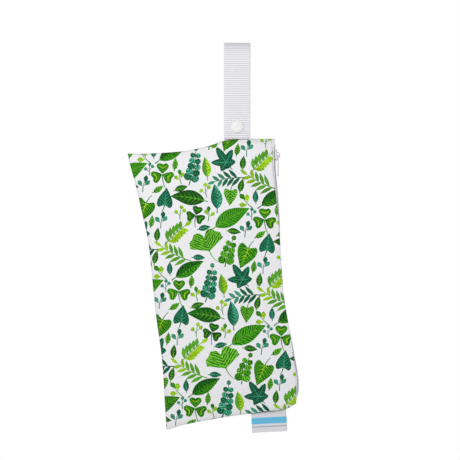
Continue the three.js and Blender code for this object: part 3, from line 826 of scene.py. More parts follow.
class Finish:
    """A material with a Principled shader, two shades to vary between and short ways to add nodes."""

    def __init__(self, name, plain, dark, light, roughness, **constants):
        self.material = bpy.data.materials.new(name)
        self.material.use_nodes = True
        self.tree = self.material.node_tree
        self.shader = self.tree.nodes["Principled BSDF"]
        self.shader.inputs["Base Color"].default_value = linear(plain)
        self.shader.inputs["Roughness"].default_value = roughness
        for socket, value in constants.items():
            self.shader.inputs[socket.replace("_", " ")].default_value = value
        self.shades = (linear(dark), linear(light))

    def node(self, kind, inputs=(), **settings):
        made = self.tree.nodes.new(kind)
        for key, value in settings.items():
            setattr(made, key, value)
        for key, value in dict(inputs).items():
            if hasattr(value, "is_output"):
                self.tree.links.new(value, made.inputs[key])
            else:
                made.inputs[key].default_value = value
        return made

    def math(self, operation, first, second=0.0, third=0.0):
        return self.node("ShaderNodeMath", {0: first, 1: second, 2: third}, operation=operation).outputs[0]

    def scaled(self, value, factor, plus=0.0):
        return self.math("MULTIPLY_ADD", value, factor, plus)

    def remap(self, value, low, high):
        """0 to 1 spread from the low value to the high one."""
        settings = {"Value": value, "To Min": low, "To Max": high}
        return self.node("ShaderNodeMapRange", settings).outputs["Result"]

    def sharpened(self, value, low, high):
        """0 below the low value, 1 above the high one."""
        settings = {"Value": value, "From Min": low, "From Max": high}
        return self.node("ShaderNodeMapRange", settings).outputs["Result"]

    def mixed(self, factor, first, second):
        colours = {0: factor, 6: first, 7: second}
        return self.node("ShaderNodeMix", colours, data_type="RGBA").outputs[2]

    def shaded(self, colour, factor):
        """A colour, or a place, multiplied by a factor."""
        return self.node("ShaderNodeVectorMath", {0: colour, "Scale": factor}, operation="SCALE").outputs[0]

    def between_shades(self, factor):
        return self.mixed(factor, *self.shades)

    def flat_map(self):
        """The piece's own map in millimetres, as a place and its two parts."""
        uv = self.node("ShaderNodeUVMap", uv_map="flat").outputs[0]
        place = self.shaded(uv, MAP_SCALE)
        parts = self.node("ShaderNodeSeparateXYZ", {0: place}).outputs
        return place, parts[0], parts[1]

    def own_place(self):
        return self.node("ShaderNodeTexCoord").outputs["Object"]

    def ripple(self, value, pitch):
        """0 to 1 and back over each pitch."""
        turned_by = self.math("MULTIPLY", value, 2 * pi / pitch)
        return self.scaled(self.math("SINE", turned_by), 0.5, 0.5)

    def noise(self, place, scale, detail=3.0):
        settings = {"Vector": place, "Scale": scale, "Detail": detail}
        return self.node("ShaderNodeTexNoise", settings).outputs["Fac"]

    def mottle(self, scale, detail=3.0):
        """Spots that vary the colour, returned for the roughness to follow."""
        spots = self.noise(self.own_place(), scale, detail)
        self.colour_from(self.between_shades(spots))
        return spots

    def bump(self, height, strength, distance):
        settings = {"Height": height, "Strength": strength, "Distance": distance * MM}
        made = self.node("ShaderNodeBump", settings)
        self.tree.links.new(made.outputs[0], self.shader.inputs["Normal"])

    def colour_from(self, socket):
        self.tree.links.new(socket, self.shader.inputs["Base Color"])

    def roughness_from(self, value, low, high):
        self.tree.links.new(self.remap(value, low, high), self.shader.inputs["Roughness"])


def printed_cloth():
    """Fine knit, matt where bare, with inks that look brushed on."""
    finish = Finish(
        "printed cloth", plain=(238, 238, 241), dark=(238, 238, 241), light=(243, 243, 246), roughness=0.72,
        Sheen_Weight=0.04, Sheen_Roughness=0.5, Specular_IOR_Level=0.16,
    )
    place, u, v = finish.flat_map()
    ink = finish.node("ShaderNodeAttribute", attribute_name="print")

    # Ink, in strokes that lean away from each leaf's rib
    stretched = finish.node("ShaderNodeMapping", {"Vector": place, "Scale": BRUSH_STRETCH}).outputs[0]
    strokes = finish.remap(finish.noise(stretched, scale=0.8), -INK_STROKES, INK_STROKES)
    pools = finish.remap(finish.noise(place, scale=0.22), *INK_POOLS)
    brush = finish.node("ShaderNodeAttribute", attribute_name="brush").outputs["Vector"]
    along_leaf, beside_rib, strength = finish.node("ShaderNodeSeparateXYZ", {0: brush}).outputs
    leaning = finish.scaled(finish.math("ABSOLUTE", beside_rib), -STROKE_LEAN, along_leaf)
    wander = finish.remap(finish.noise(place, scale=0.3, detail=2.0), -STROKE_WANDER, STROKE_WANDER)
    hatch = finish.ripple(finish.math("ADD", leaning, wander), pitch=1.0)
    hatch = finish.math("SUBTRACT", finish.sharpened(hatch, *STROKE_EDGES), 0.5)
    darker = finish.math("MULTIPLY", hatch, strength)
    shade = finish.scaled(darker, -STROKE_DEEP, finish.math("ADD", strokes, pools))
    inked = finish.shaded(ink.outputs["Color"], finish.math("MAXIMUM", shade, INK_LEAST))

    # Bare cloth, then the knit and slubs that show in the ink as well
    ground = finish.between_shades(finish.noise(place, scale=0.06, detail=2.0))
    courses = finish.scaled(finish.ripple(v, COURSE_PITCH), COURSE_HEIGHT, 1 - COURSE_HEIGHT)
    knit = finish.math("MULTIPLY", finish.ripple(u, WALE_PITCH), courses)
    slubs = finish.remap(finish.noise(place, SLUB_SCALE, detail=2.0), -SLUB_SHADE, SLUB_SHADE)
    dyed = finish.mixed(ink.outputs["Alpha"], ground, inked)
    finish.colour_from(finish.shaded(dyed, finish.math("ADD", finish.remap(knit, *KNIT_SHADES), slubs)))
    finish.bump(knit, strength=0.45, distance=0.09)
    finish.roughness_from(finish.noise(place, scale=0.5), low=0.64, high=0.8)
    return finish.material


def webbing():
    """Woven ribs, each a row of short floats, with painted shade darkening the grooves between them."""
    finish = Finish(
        "webbing", plain=(236, 235, 240), dark=(198, 197, 204), light=(247, 246, 250), roughness=0.82,
        Sheen_Weight=0.08, Specular_IOR_Level=0.2,
    )
    place, u, v = finish.flat_map()
    row = finish.math("FLOOR", finish.math("DIVIDE", v, RIB_PITCH))
    shifted = finish.scaled(finish.math("MODULO", row, 2.0), FLOAT_PITCH / 2, u)
    floats = finish.ripple(shifted, FLOAT_PITCH)
    fuzz = finish.noise(place, scale=2.2, detail=4.0)
    finish.bump(finish.scaled(fuzz, FUZZ_HEIGHT, floats), strength=0.5, distance=0.12)
    # Painted shade: the colour darkens towards each groove between ribs, where shade falls
    rib = finish.math("ABSOLUTE", finish.math("SINE", finish.math("MULTIPLY", v, pi / RIB_PITCH)))
    painted_groove_shade = finish.math("POWER", rib, GROOVE_SHADE_POWER)
    woven = finish.scaled(finish.math("ADD", floats, fuzz), WEAVE_SHADE, WEAVE_LEAST)
    finish.colour_from(finish.between_shades(finish.math("MULTIPLY", painted_groove_shade, woven)))
    return finish.material


def tape_weave():
    """Close twill of a zip's tape."""
    finish = Finish(
        "zip tape", plain=(226, 225, 233), dark=(230, 229, 236), light=(244, 243, 248), roughness=0.85,
        Sheen_Weight=0.15,
    )
    _, u, v = finish.flat_map()
    zigzag = finish.math("PINGPONG", u, TWILL_WIDTH)
    twill = finish.ripple(finish.math("ADD", v, zigzag), TWILL_PITCH)
    finish.bump(twill, strength=0.45, distance=0.06)
    finish.colour_from(finish.between_shades(twill))
    return finish.material


def coil_nylon():
    finish = Finish(
        "zip coil", plain=(233, 232, 238), dark=(230, 230, 236), light=(242, 242, 246), roughness=0.38,
        Subsurface_Weight=0.1,
    )
    finish.mottle(scale=900.0)
    finish.roughness_from(finish.noise(finish.own_place(), scale=500.0), low=0.3, high=0.46)
    return finish.material


def slider_enamel():
    """White paint on cast metal, a little uneven."""
    finish = Finish(
        "slider enamel", plain=(238, 238, 240), dark=(202, 202, 206), light=(215, 215, 218), roughness=0.3,
        Coat_Weight=0.3, Coat_Roughness=0.15,
    )
    spots = finish.mottle(scale=700.0, detail=5.0)
    finish.roughness_from(spots, low=0.24, high=0.4)
    finish.bump(finish.noise(finish.own_place(), scale=1600.0, detail=2.0), strength=0.12, distance=0.04)
    return finish.material


def snap_plastic():
    finish = Finish(
        "snap plastic", plain=(240, 240, 238), dark=(235, 235, 234), light=(243, 243, 241), roughness=0.42,
        Subsurface_Weight=0.6, Subsurface_Radius=(0.004, 0.004, 0.0036), Specular_IOR_Level=0.3,
    )
    finish.roughness_from(finish.mottle(scale=160.0), low=0.38, high=0.5)
    return finish.material


def label_ribbon():
    """Satin ribbon with a woven pale-blue band and a thin grey line."""
    finish = Finish(
        "label ribbon", plain=(232, 232, 237), dark=(212, 212, 219), light=(230, 230, 235), roughness=0.62,
        Sheen_Weight=0.2, Sheen_Roughness=0.4,
    )
    _, u, v = finish.flat_map()
    warp = finish.scaled(finish.ripple(u, pitch=0.36), factor=0.5, plus=0.5)
    weave = finish.math("MULTIPLY", finish.ripple(v, pitch=0.42), warp)
    finish.bump(weave, strength=0.35, distance=0.05)
    colour = finish.between_shades(weave)
    for low, high, dark, light in LABEL_BANDS:
        above = finish.math("GREATER_THAN", v, low)
        below = finish.math("LESS_THAN", v, high)
        band = finish.mixed(weave, linear(dark), linear(light))
        colour = finish.mixed(finish.math("MULTIPLY", above, below), colour, band)
    finish.colour_from(colour)
    return finish.material


def pale_floor():
    """A pale floor that looks as bright as the ground behind it."""
    finish = Finish(
        "pale floor", plain=(244, 244, 244), dark=(242, 242, 242), light=(246, 246, 246), roughness=0.9,
        Emission_Color=WHITE,
    )
    finish.mottle(scale=3.0)
    seen = finish.node("ShaderNodeLightPath").outputs["Is Camera Ray"]
    finish.tree.links.new(finish.remap(seen, 0.0, FLOOR_GLOW), finish.shader.inputs["Emission Strength"])
    return finish.material


# Making pieces

SHARP_FROM = radians(40)


def deselect_all():
    for obj in list(bpy.context.selected_objects):
        obj.select_set(False)


def make_active(obj):
    deselect_all()
    obj.select_set(True)
    bpy.context.view_layer.objects.active = obj


def mesh_piece(name, points, faces, uv=None):
    """An object from points in metres. uv holds flat places in millimetres, one for each point."""
    mesh = bpy.data.meshes.new(name)
    mesh.from_pydata([tuple(p) for p in points], [], faces)
    mesh.update()
    if uv is not None:
        corners = np.zeros(len(mesh.loops), np.int64)
        mesh.loops.foreach_get("vertex_index", corners)
        layer = mesh.uv_layers.new(name="flat")
        layer.data.foreach_set("uv", (np.asarray(uv, float)[corners] / MAP_SCALE).ravel())
    mesh.shade_smooth()
    obj = bpy.data.objects.new(name, mesh)
    bpy.context.collection.objects.link(obj)
    return obj


def face_outwards(obj):
    """Turns a closed piece's faces outwards."""
    edit = bmesh.new()
    edit.from_mesh(obj.data)
    bmesh.ops.recalc_face_normals(edit, faces=edit.faces)
    if edit.calc_volume(signed=True) < 0:
        bmesh.ops.reverse_faces(edit, faces=edit.faces)
    edit.to_mesh(obj.data)
    edit.free()


def lofted(name, rings, uv):
    """A closed tube through rings of equal count, with an n-gon at each end."""
    around = len(rings[0])
    faces = []
    for ring in range(len(rings) - 1):
        for i in range(around):
            a = ring * around + i
            b = ring * around + (i + 1) % around
            faces.append((a, b, b + around, a + around))
    faces.append(tuple(range(around))[::-1])
    last = (len(rings) - 1) * around
    faces.append(tuple(range(last, last + around)))
    obj = mesh_piece(name, np.concatenate(rings), faces, np.concatenate(uv))
    face_outwards(obj)
    return obj


def lengths_along(line):
    """Each point's distance from the line's start, along the line."""
    return np.concatenate([[0.0], np.cumsum(np.linalg.norm(np.diff(line, axis=0), axis=1))])


def right_of(line):
    """Unit steps to the right of the line's heading, one for each point."""
    ahead = np.gradient(line, axis=0)
    ahead /= np.linalg.norm(ahead, axis=1, keepdims=True)
    return np.stack([ahead[:, 1], -ahead[:, 0]], axis=-1)


def enter_edit():
    """Puts the active object's place and size into its mesh, and opens all of it for editing."""
    bpy.ops.object.transform_apply(location=True, rotation=True, scale=True)
    bpy.ops.object.mode_set(mode="EDIT")
    bpy.ops.mesh.select_all(action="SELECT")


def cube(size, place):
    """A block at its size and place, in edit mode."""
    deselect_all()
    bpy.ops.mesh.primitive_cube_add(size=1, location=place)
    obj = bpy.context.object
    obj.scale = size
    enter_edit()
    return obj


def select_faces(obj, chosen):
    """Selects the faces of a mesh in edit mode that the test chooses."""
    bpy.ops.mesh.select_mode(type="FACE")
    bpy.ops.mesh.select_all(action="DESELECT")
    edit = bmesh.from_edit_mesh(obj.data)
    for face in edit.faces:
        face.select_set(chosen(face.calc_center_median(), face.normal))
    bmesh.update_edit_mesh(obj.data)


def select_edges(obj, chosen):
    """Selects the edges of a mesh in edit mode that the test chooses."""
    bpy.ops.mesh.select_mode(type="EDGE")
    bpy.ops.mesh.select_all(action="DESELECT")
    edit = bmesh.from_edit_mesh(obj.data)
    for edge in edit.edges:
        edge.select_set(chosen(edge))
    bmesh.update_edit_mesh(obj.data)


def out_of_zip(edge):
    """How far an edge runs along X."""
    return abs(edge.verts[0].co.x - edge.verts[1].co.x)


def leave_edit(obj):
    bpy.ops.mesh.select_mode(type="VERT")
    bpy.ops.object.mode_set(mode="OBJECT")
    return obj


def finished(name, obj, matrix):
    """The piece named, set in its place and shaded smooth up to its sharp edges."""
    obj.name = name
    obj.data.name = name
    obj.data.transform(matrix)
    make_active(obj)
    bpy.ops.object.shade_smooth_by_angle(angle=SHARP_FROM)
    return obj


def dress(obj, material, node, body="bag"):
    """Gives a piece its material, body, slot and the node that it stands for."""
    obj.data.materials.clear()
    obj.data.materials.append(material)
    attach(obj, body)
    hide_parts(node)


# Panels

GRID_STEP = 2.6
GRID_STAGGER = 0.25
OUTLINE_STEP = 2.2
EDGE_RINGS = (0.12, 0.4, 0.8, 1.3, 2.0)
MERGE_WITHIN = 0.004
SLOPE_STEP = 0.06


def panel_outline(inset=0.0):
    """Flat points round a panel, at an even distance inside its edges."""
    columns = np.linspace(0, 1, int(POUCH_WIDTH / OUTLINE_STEP) + 1)
    rows = np.linspace(0, 1, int(POUCH_LENGTH / OUTLINE_STEP) + 1)
    column_inset = inset / POUCH_WIDTH
    row_inset = inset / POUCH_LENGTH
    columns = column_inset + columns * (1 - 2 * column_inset)
    rows = row_inset + rows * (1 - 2 * row_inset)
    walk_columns = [np.full_like(rows, columns[0]), columns, np.full_like(rows, columns[-1]), columns[::-1]]
    walk_rows = [rows, np.full_like(columns, rows[-1]), rows[::-1], np.full_like(columns, rows[0])]
    column = np.concatenate([part[:-1] for part in walk_columns])
    row = np.concatenate([part[:-1] for part in walk_rows])
    return flat_places(column, row)


def panel_grid():
    """Flat points inside a panel, in staggered rows."""
    points = []
    count = int(POUCH_LENGTH / GRID_STEP)
    across_count = int(POUCH_WIDTH / GRID_STEP)
    for i in range(1, count):
        row = np.full(across_count - 1, i / count)
        column = (np.arange(1, across_count) + GRID_STAGGER * (-1) ** i) / across_count
        points.append(flat_places(column, row))
    return np.concatenate(points)


def signed_area(flat):
    """An outline's area, above 0 where it runs anticlockwise."""
    ahead = np.roll(flat, -1, axis=0)
    return np.sum(flat[:, 0] * ahead[:, 1] - ahead[:, 0] * flat[:, 1]) / 2


def anticlockwise(flat):
    return flat if signed_area(flat) > 0 else flat[::-1]


# Brush strokes: their pitches, the leaf widths at which they start and are full, and the shades of each ink
STROKE_PITCHES = (2.2, 3.1)
STROKED_WIDTHS = (1.4, 4.5)
LEAF_SHADES = (0.74, 1.06)
BRUSH_SEED = 23

# The brush of bare cloth, with the parts that brush_of gives
BARE = (0.0, 0.0, 0.0, 1.0, 1.0, 0.0, 1.0)


def brush_of(flat, draw):
    """A shape's foot, its heading from there, stroke pitch and strength, and shade of its ink."""
    foot = flat[0]
    heading = flat.mean(axis=0) - foot
    reach = np.linalg.norm(heading)
    strength = smoothstep(abs(signed_area(flat)) / (2 * reach), *STROKED_WIDTHS)
    return (*foot, *(heading / reach), draw.uniform(*STROKE_PITCHES), strength, draw.uniform(*LEAF_SHADES))


def stroke_places(flat, triangles, brushes):
    """Each corner's place along and beside its leaf, in strokes, and the strokes' strength."""
    corners = flat[triangles]
    foot_across, foot_down, ahead_across, ahead_down, pitch, strength, _ = brushes.T[:, :, None]
    from_foot_across = corners[:, :, 0] - foot_across
    from_foot_down = corners[:, :, 1] - foot_down
    along_leaf = (from_foot_across * ahead_across + from_foot_down * ahead_down) / pitch
    beside_rib = (from_foot_across * ahead_down - from_foot_down * ahead_across) / pitch
    return np.stack([along_leaf, beside_rib, np.broadcast_to(strength, along_leaf.shape)], axis=-1)


def cut_panel(side):
    """Triangles of a flat panel cut along its print, with the ink and brush of each."""
    outline = anticlockwise(panel_outline())
    points = [outline]
    total = len(outline)
    faces = [list(range(total))]
    inks = [None]
    brushes = [BARE]
    draw = np.random.default_rng(BRUSH_SEED)
    for ink, flat in printed_shapes(side):
        faces.append(list(range(total, total + len(flat))))
        inks.append(ink)
        brushes.append(brush_of(flat, draw))
        points.append(anticlockwise(flat))
        total += len(flat)
    points += [panel_outline(inset) for inset in EDGE_RINGS]
    points.append(panel_grid())
    coords = [Vector(p) for p in np.concatenate(points)]
    verts, _, triangles, _, _, origins = delaunay_2d_cdt(coords, [], faces, 1, MERGE_WITHIN, True)
    kept = [(t, max(o)) for t, o in zip(triangles, origins) if 0 in o]
    used = sorted({i for t, _ in kept for i in t})
    renumber = {old: new for new, old in enumerate(used)}
    flat = np.array([verts[i] for i in used])
    tops = [top for _, top in kept]
    triangles = np.array([[renumber[i] for i in t] for t, _ in kept])
    return flat, triangles, [inks[top] for top in tops], np.array(brushes)[tops]


def outer_normals(across, down, side):
    """Normals of a panel's outer face, in the pouch's frame with its third part up."""
    step = SLOPE_STEP
    slope_across = outer_depth(across + step, down, side) - outer_depth(across - step, down, side)
    slope_down = outer_depth(across, down + step, side) - outer_depth(across, down - step, side)
    normal = np.stack([-slope_across, np.full_like(across, side * 2 * step), slope_down], axis=-1)
    return normal / np.linalg.norm(normal, axis=1, keepdims=True)


def walled(triangles, count):
    """Faces of a sheet with a second layer of as many points behind it, joined along their rims."""
    edges = {}
    for a, b, c in triangles.tolist():
        for pair in ((a, b), (b, c), (c, a)):
            edges[pair] = True
    rim = [(b, a, a + count, b + count) for a, b in edges if (b, a) not in edges]
    back_faces = (triangles[:, ::-1] + count).tolist()
    return [tuple(t) for t in triangles.tolist() + back_faces] + rim


def print_on(obj, faces, inks, brushes, strokes):
    """Writes the print to the faces' corners: ink colours, with no alpha where bare, and brush strokes."""
    colours = np.ones((len(faces), 4))
    colours[:, 3] = 0.0
    palette = {ink: np.array(linear(rgb)) for ink, rgb in INKS.items()}
    for i, ink in enumerate(inks):
        if ink:
            colours[i] = palette[ink]
            colours[i, :3] *= brushes[i, -1]
    sizes = [len(face) for face in faces]
    layer = obj.data.attributes.new("print", "FLOAT_COLOR", "CORNER")
    layer.data.foreach_set("color", np.repeat(colours, sizes, axis=0).astype(np.float32).ravel())
    every_stroke = np.zeros((sum(sizes), 3), np.float32)
    every_stroke[:strokes.size // 3] = strokes.reshape(-1, 3)
    layer = obj.data.attributes.new("brush", "FLOAT_VECTOR", "CORNER")
    layer.data.foreach_set("vector", every_stroke.ravel())


def panel(name, side, node):
    """A panel of printed cloth with an outer face, an inner face and a rim."""
    flat, triangles, inks, brushes = cut_panel(side)
    across, down = flat.T
    least_depth, depth = panel_depths(across, down, side)
    normal = outer_normals(across, down, side)
    outer = np.stack([across, side * depth, -down], axis=-1)
    inner = outer - normal * WALL_THICK
    inner[:, 1] = side * np.maximum(side * inner[:, 1], least_depth)
    both = np.concatenate([outer, inner])
    points = in_pouch(both[:, 0], both[:, 1], -both[:, 2])
    first, second, third = (outer[triangles[:, i]] for i in range(3))
    facing = np.cross(second - first, third - first)[:, 1] * side
    triangles[facing < 0] = triangles[facing < 0][:, ::-1]
    faces = walled(triangles, len(flat))
    obj = mesh_piece(name, points, faces, np.concatenate([flat, flat]))
    print_on(obj, faces, inks, brushes, stroke_places(flat, triangles, brushes))
    world_normal = np.concatenate([normal, -normal]) @ pouch_turn.T
    obj.data.normals_split_custom_set_from_vertices([tuple(n) for n in world_normal])
    dress(obj, cloth_finish, node)


# Zip

slider_row = SLIDER_BELOW_SEAM / POUCH_LENGTH


def ridge_out(row):
    """How far the zip's ridge stands out past the cloth's edge."""
    _, from_bottom = from_seams(row)
    return smooth(sections, "zip", row) - ZIP_FOOT_TUCK * (1 - roll(from_bottom, ZIP_FOOT_LONG))


def beside_ridge(outside, depth, row):
    """World points at a distance outside the zip's ridge."""
    left, right = sides(row)
    across = right + ridge_out(row) + outside
    column = np.minimum((across - left) / (right - left), 1.0)
    return in_pouch(across, depth, down_at(column, row))


def parted_at(row):
    """How far each half of the zip stands from the middle, above the slider and below the top seam."""
    meets_above, meets_below = TAPE_MEETS
    below_seam = smoothstep(row * POUCH_LENGTH, *TAPE_PARTS_BELOW)
    above_slider = 1 - smoothstep(row, slider_row + meets_above, slider_row + meets_below)
    return TAPE_PARTED * below_seam * above_slider


def tape_line(row):
    """Places outside the ridge and depths along the tape, into the pouch, and half the tape's thickness."""
    cloth_inside = zip_depth(row) + zip_end_opening(1.0, row) + SEAM_GAP / 2
    flat_depth = cloth_inside - TAPE_CLEAR - TAPE_THICK / 2
    parted = TAPE_HALVES_APART + parted_at(row)
    corner = min(TAPE_CORNER, max(flat_depth - parted, TAPE_LEAST) * TAPE_CORNER_SHARE)
    line = [(0.0, min(parted, flat_depth - corner - TAPE_LEAST))]
    for i in range(TAPE_CORNER_STEPS + 1):
        angle = pi / 2 * i / TAPE_CORNER_STEPS
        line.append((corner * (cos(angle) - 1), flat_depth + corner * (sin(angle) - 1)))
    widened = roll(min(from_seams(row)), TAPE_WIDENS_OVER)
    overlap = TAPE_END_OVERLAP + (TAPE_OVERLAP - TAPE_END_OVERLAP) * widened
    line.append((-ridge_out(row) - overlap, flat_depth))
    line = np.array([(float(x), float(y)) for x, y in line])
    past_hem = np.maximum(-ridge_out(row) - line[:, 0] - HEM_DEEP, 0.0)
    rise = edge_puff(past_hem, row) + TAPE_RISE * folded(past_hem)
    line[:, 1] *= 1 + rise / flat_depth
    return line, min(TAPE_THICK / 2, TAPE_THICK_SHARE * corner)


def tape(name, side, node):
    """One half of the tape, turned from the ridge round into the pouch."""
    rows = np.linspace(TAPE_TOP, POUCH_LENGTH - TAPE_FOOT, int(POUCH_LENGTH / TAPE_ROW_STEP)) / POUCH_LENGTH
    rings = []
    uv = []
    for row in rows:
        line, half_thick = tape_line(row)
        outward = right_of(line) * half_thick
        ring = np.concatenate([line + outward, (line - outward)[::-1]])
        rings.append(beside_ridge(ring[:, 0], side * ring[:, 1], np.full(len(ring), row)))
        lengths = lengths_along(line)
        places = np.concatenate([lengths, lengths[::-1]])
        uv.append(np.stack([places, np.full(len(ring), row * POUCH_LENGTH)], axis=-1))
    obj = lofted(name, rings, uv)
    dress(obj, tape_finish, node)


def block(size, place, bevel, segments=3, taper=None):
    """A bevelled block. taper scales its lower end across the zip."""
    obj = cube(size, place)
    if taper:
        edit = bmesh.from_edit_mesh(obj.data)
        for vert in edit.verts:
            vert.select_set(vert.co.z < place[2])
        edit.select_flush_mode()
        bmesh.update_edit_mesh(obj.data)
        bpy.ops.transform.resize(value=(1, taper, 1), center_override=place)
    bpy.ops.mesh.select_all(action="SELECT")
    bpy.ops.mesh.bevel(offset=bevel, segments=segments, affect="EDGES")
    return leave_edit(obj)


def one_tooth():
    """A rounded bar across the zip: its points in out, across and up, and its faces."""
    size = (TOOTH_HIGH - TOOTH_LOW, TOOTH_REACH + TOOTH_PAST_MIDDLE, TOOTH_WIDTH)
    place = ((TOOTH_HIGH + TOOTH_LOW) / 2, (TOOTH_REACH - TOOTH_PAST_MIDDLE) / 2, 0)
    obj = block(size, place, TOOTH_BEVEL, segments=1)
    points = np.array([v.co[:] for v in obj.data.vertices])
    faces = [tuple(p.vertices) for p in obj.data.polygons]
    bpy.data.objects.remove(obj, do_unlink=True)
    return points, faces


def coil():
    """Interlocked teeth below the slider, and parted ones above it."""
    tooth, tooth_faces = one_tooth()
    points = []
    faces = []
    count = int((POUCH_LENGTH - TEETH_FOOT_CLEAR) / TOOTH_PITCH)
    for i in range(TEETH_SKIPPED, count):
        for side in (FRONT, BACK):
            down = TEETH_START + TOOTH_PITCH * (i + (0.5 if side == BACK else 0.0))
            height = smoothstep(down, *TEETH_SINK_TOP) * smoothstep(POUCH_LENGTH - down, *TEETH_SINK_FOOT)
            if height < TEETH_HIDDEN:
                continue
            apart = TEETH_PARTED * parted_at(down / POUCH_LENGTH)
            rows = (down - tooth[:, 2]) / POUCH_LENGTH
            start = len(points) * len(tooth)
            points.append(beside_ridge(tooth[:, 0] * height, side * (tooth[:, 1] + apart), rows))
            faces += [tuple(start + k for k in face) for face in tooth_faces]
    obj = mesh_piece("zip_coil_teeth", np.concatenate(points), faces)
    face_outwards(obj)
    dress(obj, coil_finish, "zip_coil")


# Slider and pull, modelled about the slider's middle: X out of the zip, Y across it and Z up along it

RIDGE_STEP = 0.01
ridge_rows = slider_row + RIDGE_STEP * np.array([-1, 0, 1])
ridge = beside_ridge(np.zeros(3), np.zeros(3), ridge_rows)
ridge_up = ridge[0] - ridge[2]
slider_matrix = Matrix.Translation(ridge[1]) @ Matrix.Rotation(atan2(ridge_up[0], ridge_up[2]), 4, "Y")
slider_matrix = slider_matrix @ Matrix.Scale(MM, 4)

SLIDER_LENGTH = 11
SLIDER_HEAD = 7.2
SLIDER_TAIL = 6.0
PARTS_OVERLAP = 0.3
PLATE_THICK = 0.9
PLATE_CORNER = 1.5
INNER_PLATE_LOW = -1.7
INNER_PLATE_RIM = 0.25
OUTER_PLATE_LOW = 2.4
OUTER_PLATE_RIM = 0.34
LIP_LOW = 1.1
LIP_THICK = 0.7
LIP_LENGTH = 8
LIP_BEVEL = 0.18
POST_UP = 3.2
POST_LENGTH = 3
POST_WIDTH = 1.6
POST_BEVEL = 0.5
POST_TAPER = 0.4
SPINE_RISE = 0.05
SPINE_THICK = 0.5
SPINE_WIDTH = 2.6
SPINE_SHARE = 0.86
SPINE_BEVEL = 0.22
BAIL_CENTRE = 2.9
BAIL_RADIUS = 3.05
BAIL_WIRE = 0.45
BAIL_WIDTH = 1.6


def plate(low, rounding):
    """One plate of the slider: its corners are rounded along the zip's depth, then its rims."""
    obj = cube((PLATE_THICK, SLIDER_HEAD, SLIDER_LENGTH), (low + PLATE_THICK / 2, 0, 0))
    for vert in bmesh.from_edit_mesh(obj.data).verts:
        if vert.co.z < 0:
            vert.co.y *= SLIDER_TAIL / SLIDER_HEAD
    select_edges(obj, lambda edge: out_of_zip(edge) > PLATE_THICK / 2)
    bpy.ops.mesh.bevel(offset=PLATE_CORNER, segments=6, affect="EDGES")
    select_edges(obj, lambda edge: out_of_zip(edge) < PLATE_THICK / 4)
    bpy.ops.mesh.bevel(offset=rounding, segments=3, affect="EDGES")
    return leave_edit(obj)


def bail():
    """The arch that holds the pull."""
    deselect_all()
    bpy.ops.mesh.primitive_torus_add(
        location=(BAIL_CENTRE, 0, 0), rotation=(pi / 2, 0, 0), major_segments=40, minor_segments=14,
        major_radius=BAIL_RADIUS, minor_radius=BAIL_WIRE,
    )
    obj = bpy.context.object
    obj.scale = (1, 1, BAIL_WIDTH / 2 / BAIL_WIRE)
    enter_edit()
    bpy.ops.mesh.bisect(plane_co=(BAIL_CENTRE, 0, 0), plane_no=(1, 0, 0), use_fill=True, clear_inner=True)
    return leave_edit(obj)


def fused(parts):
    """One closed body from parts that overlap."""
    body = parts[0]
    make_active(body)
    for other in parts[1:]:
        bpy.ops.object.modifier_add(type="BOOLEAN")
        union = body.modifiers[-1]
        union.operation = "UNION"
        union.solver = "MANIFOLD"
        union.object = other
        bpy.ops.object.modifier_apply(modifier=union.name)
        bpy.data.objects.remove(other, do_unlink=True)
    return body


def slider():
    """Two plates with lips and a post between them, a bail and a low spine."""
    parts = [plate(INNER_PLATE_LOW, INNER_PLATE_RIM), plate(OUTER_PLATE_LOW, OUTER_PLATE_RIM), bail()]
    high = OUTER_PLATE_LOW + PARTS_OVERLAP
    lip_height = high - LIP_LOW
    lip_side = SLIDER_TAIL / 2 - LIP_THICK / 2
    for side in (FRONT, BACK):
        place = (LIP_LOW + lip_height / 2, side * lip_side, 0)
        parts.append(block((lip_height, LIP_THICK, LIP_LENGTH), place, LIP_BEVEL))
    post_low = INNER_PLATE_LOW + PLATE_THICK - PARTS_OVERLAP
    post_size = (high - post_low, POST_WIDTH, POST_LENGTH)
    parts.append(block(post_size, ((post_low + high) / 2, 0, POST_UP), POST_BEVEL, taper=POST_TAPER))
    spine_size = (SPINE_THICK, SPINE_WIDTH, SLIDER_LENGTH * SPINE_SHARE)
    parts.append(block(spine_size, (OUTER_PLATE_LOW + PLATE_THICK + SPINE_RISE, 0, 0), SPINE_BEVEL))
    obj = finished("zip_slider_cast", fused(parts), slider_matrix)
    dress(obj, enamel_finish, "zip_slider")


PIVOT_HEIGHT = 4.45
PULL_LENGTH = 20
PULL_WIDTH = 4.4
PULL_WAIST = 3.4
PULL_THICK = 1.3
PULL_BAR = 1.1
PULL_EYE_LENGTH = 4.1
PULL_EYE_WIDTH = 2.4
PULL_SHOULDER = 0.9
PULL_FOOT_FLAT = 0.05
PULL_FRAME = 0.62
PULL_PANEL_SLOPE = 0.16
PULL_PANEL_DEEP = 0.2
PULL_RIM = 0.2
FACING = 0.9
ON_PLANE = 0.01
RIM_ANGLE = radians(60)


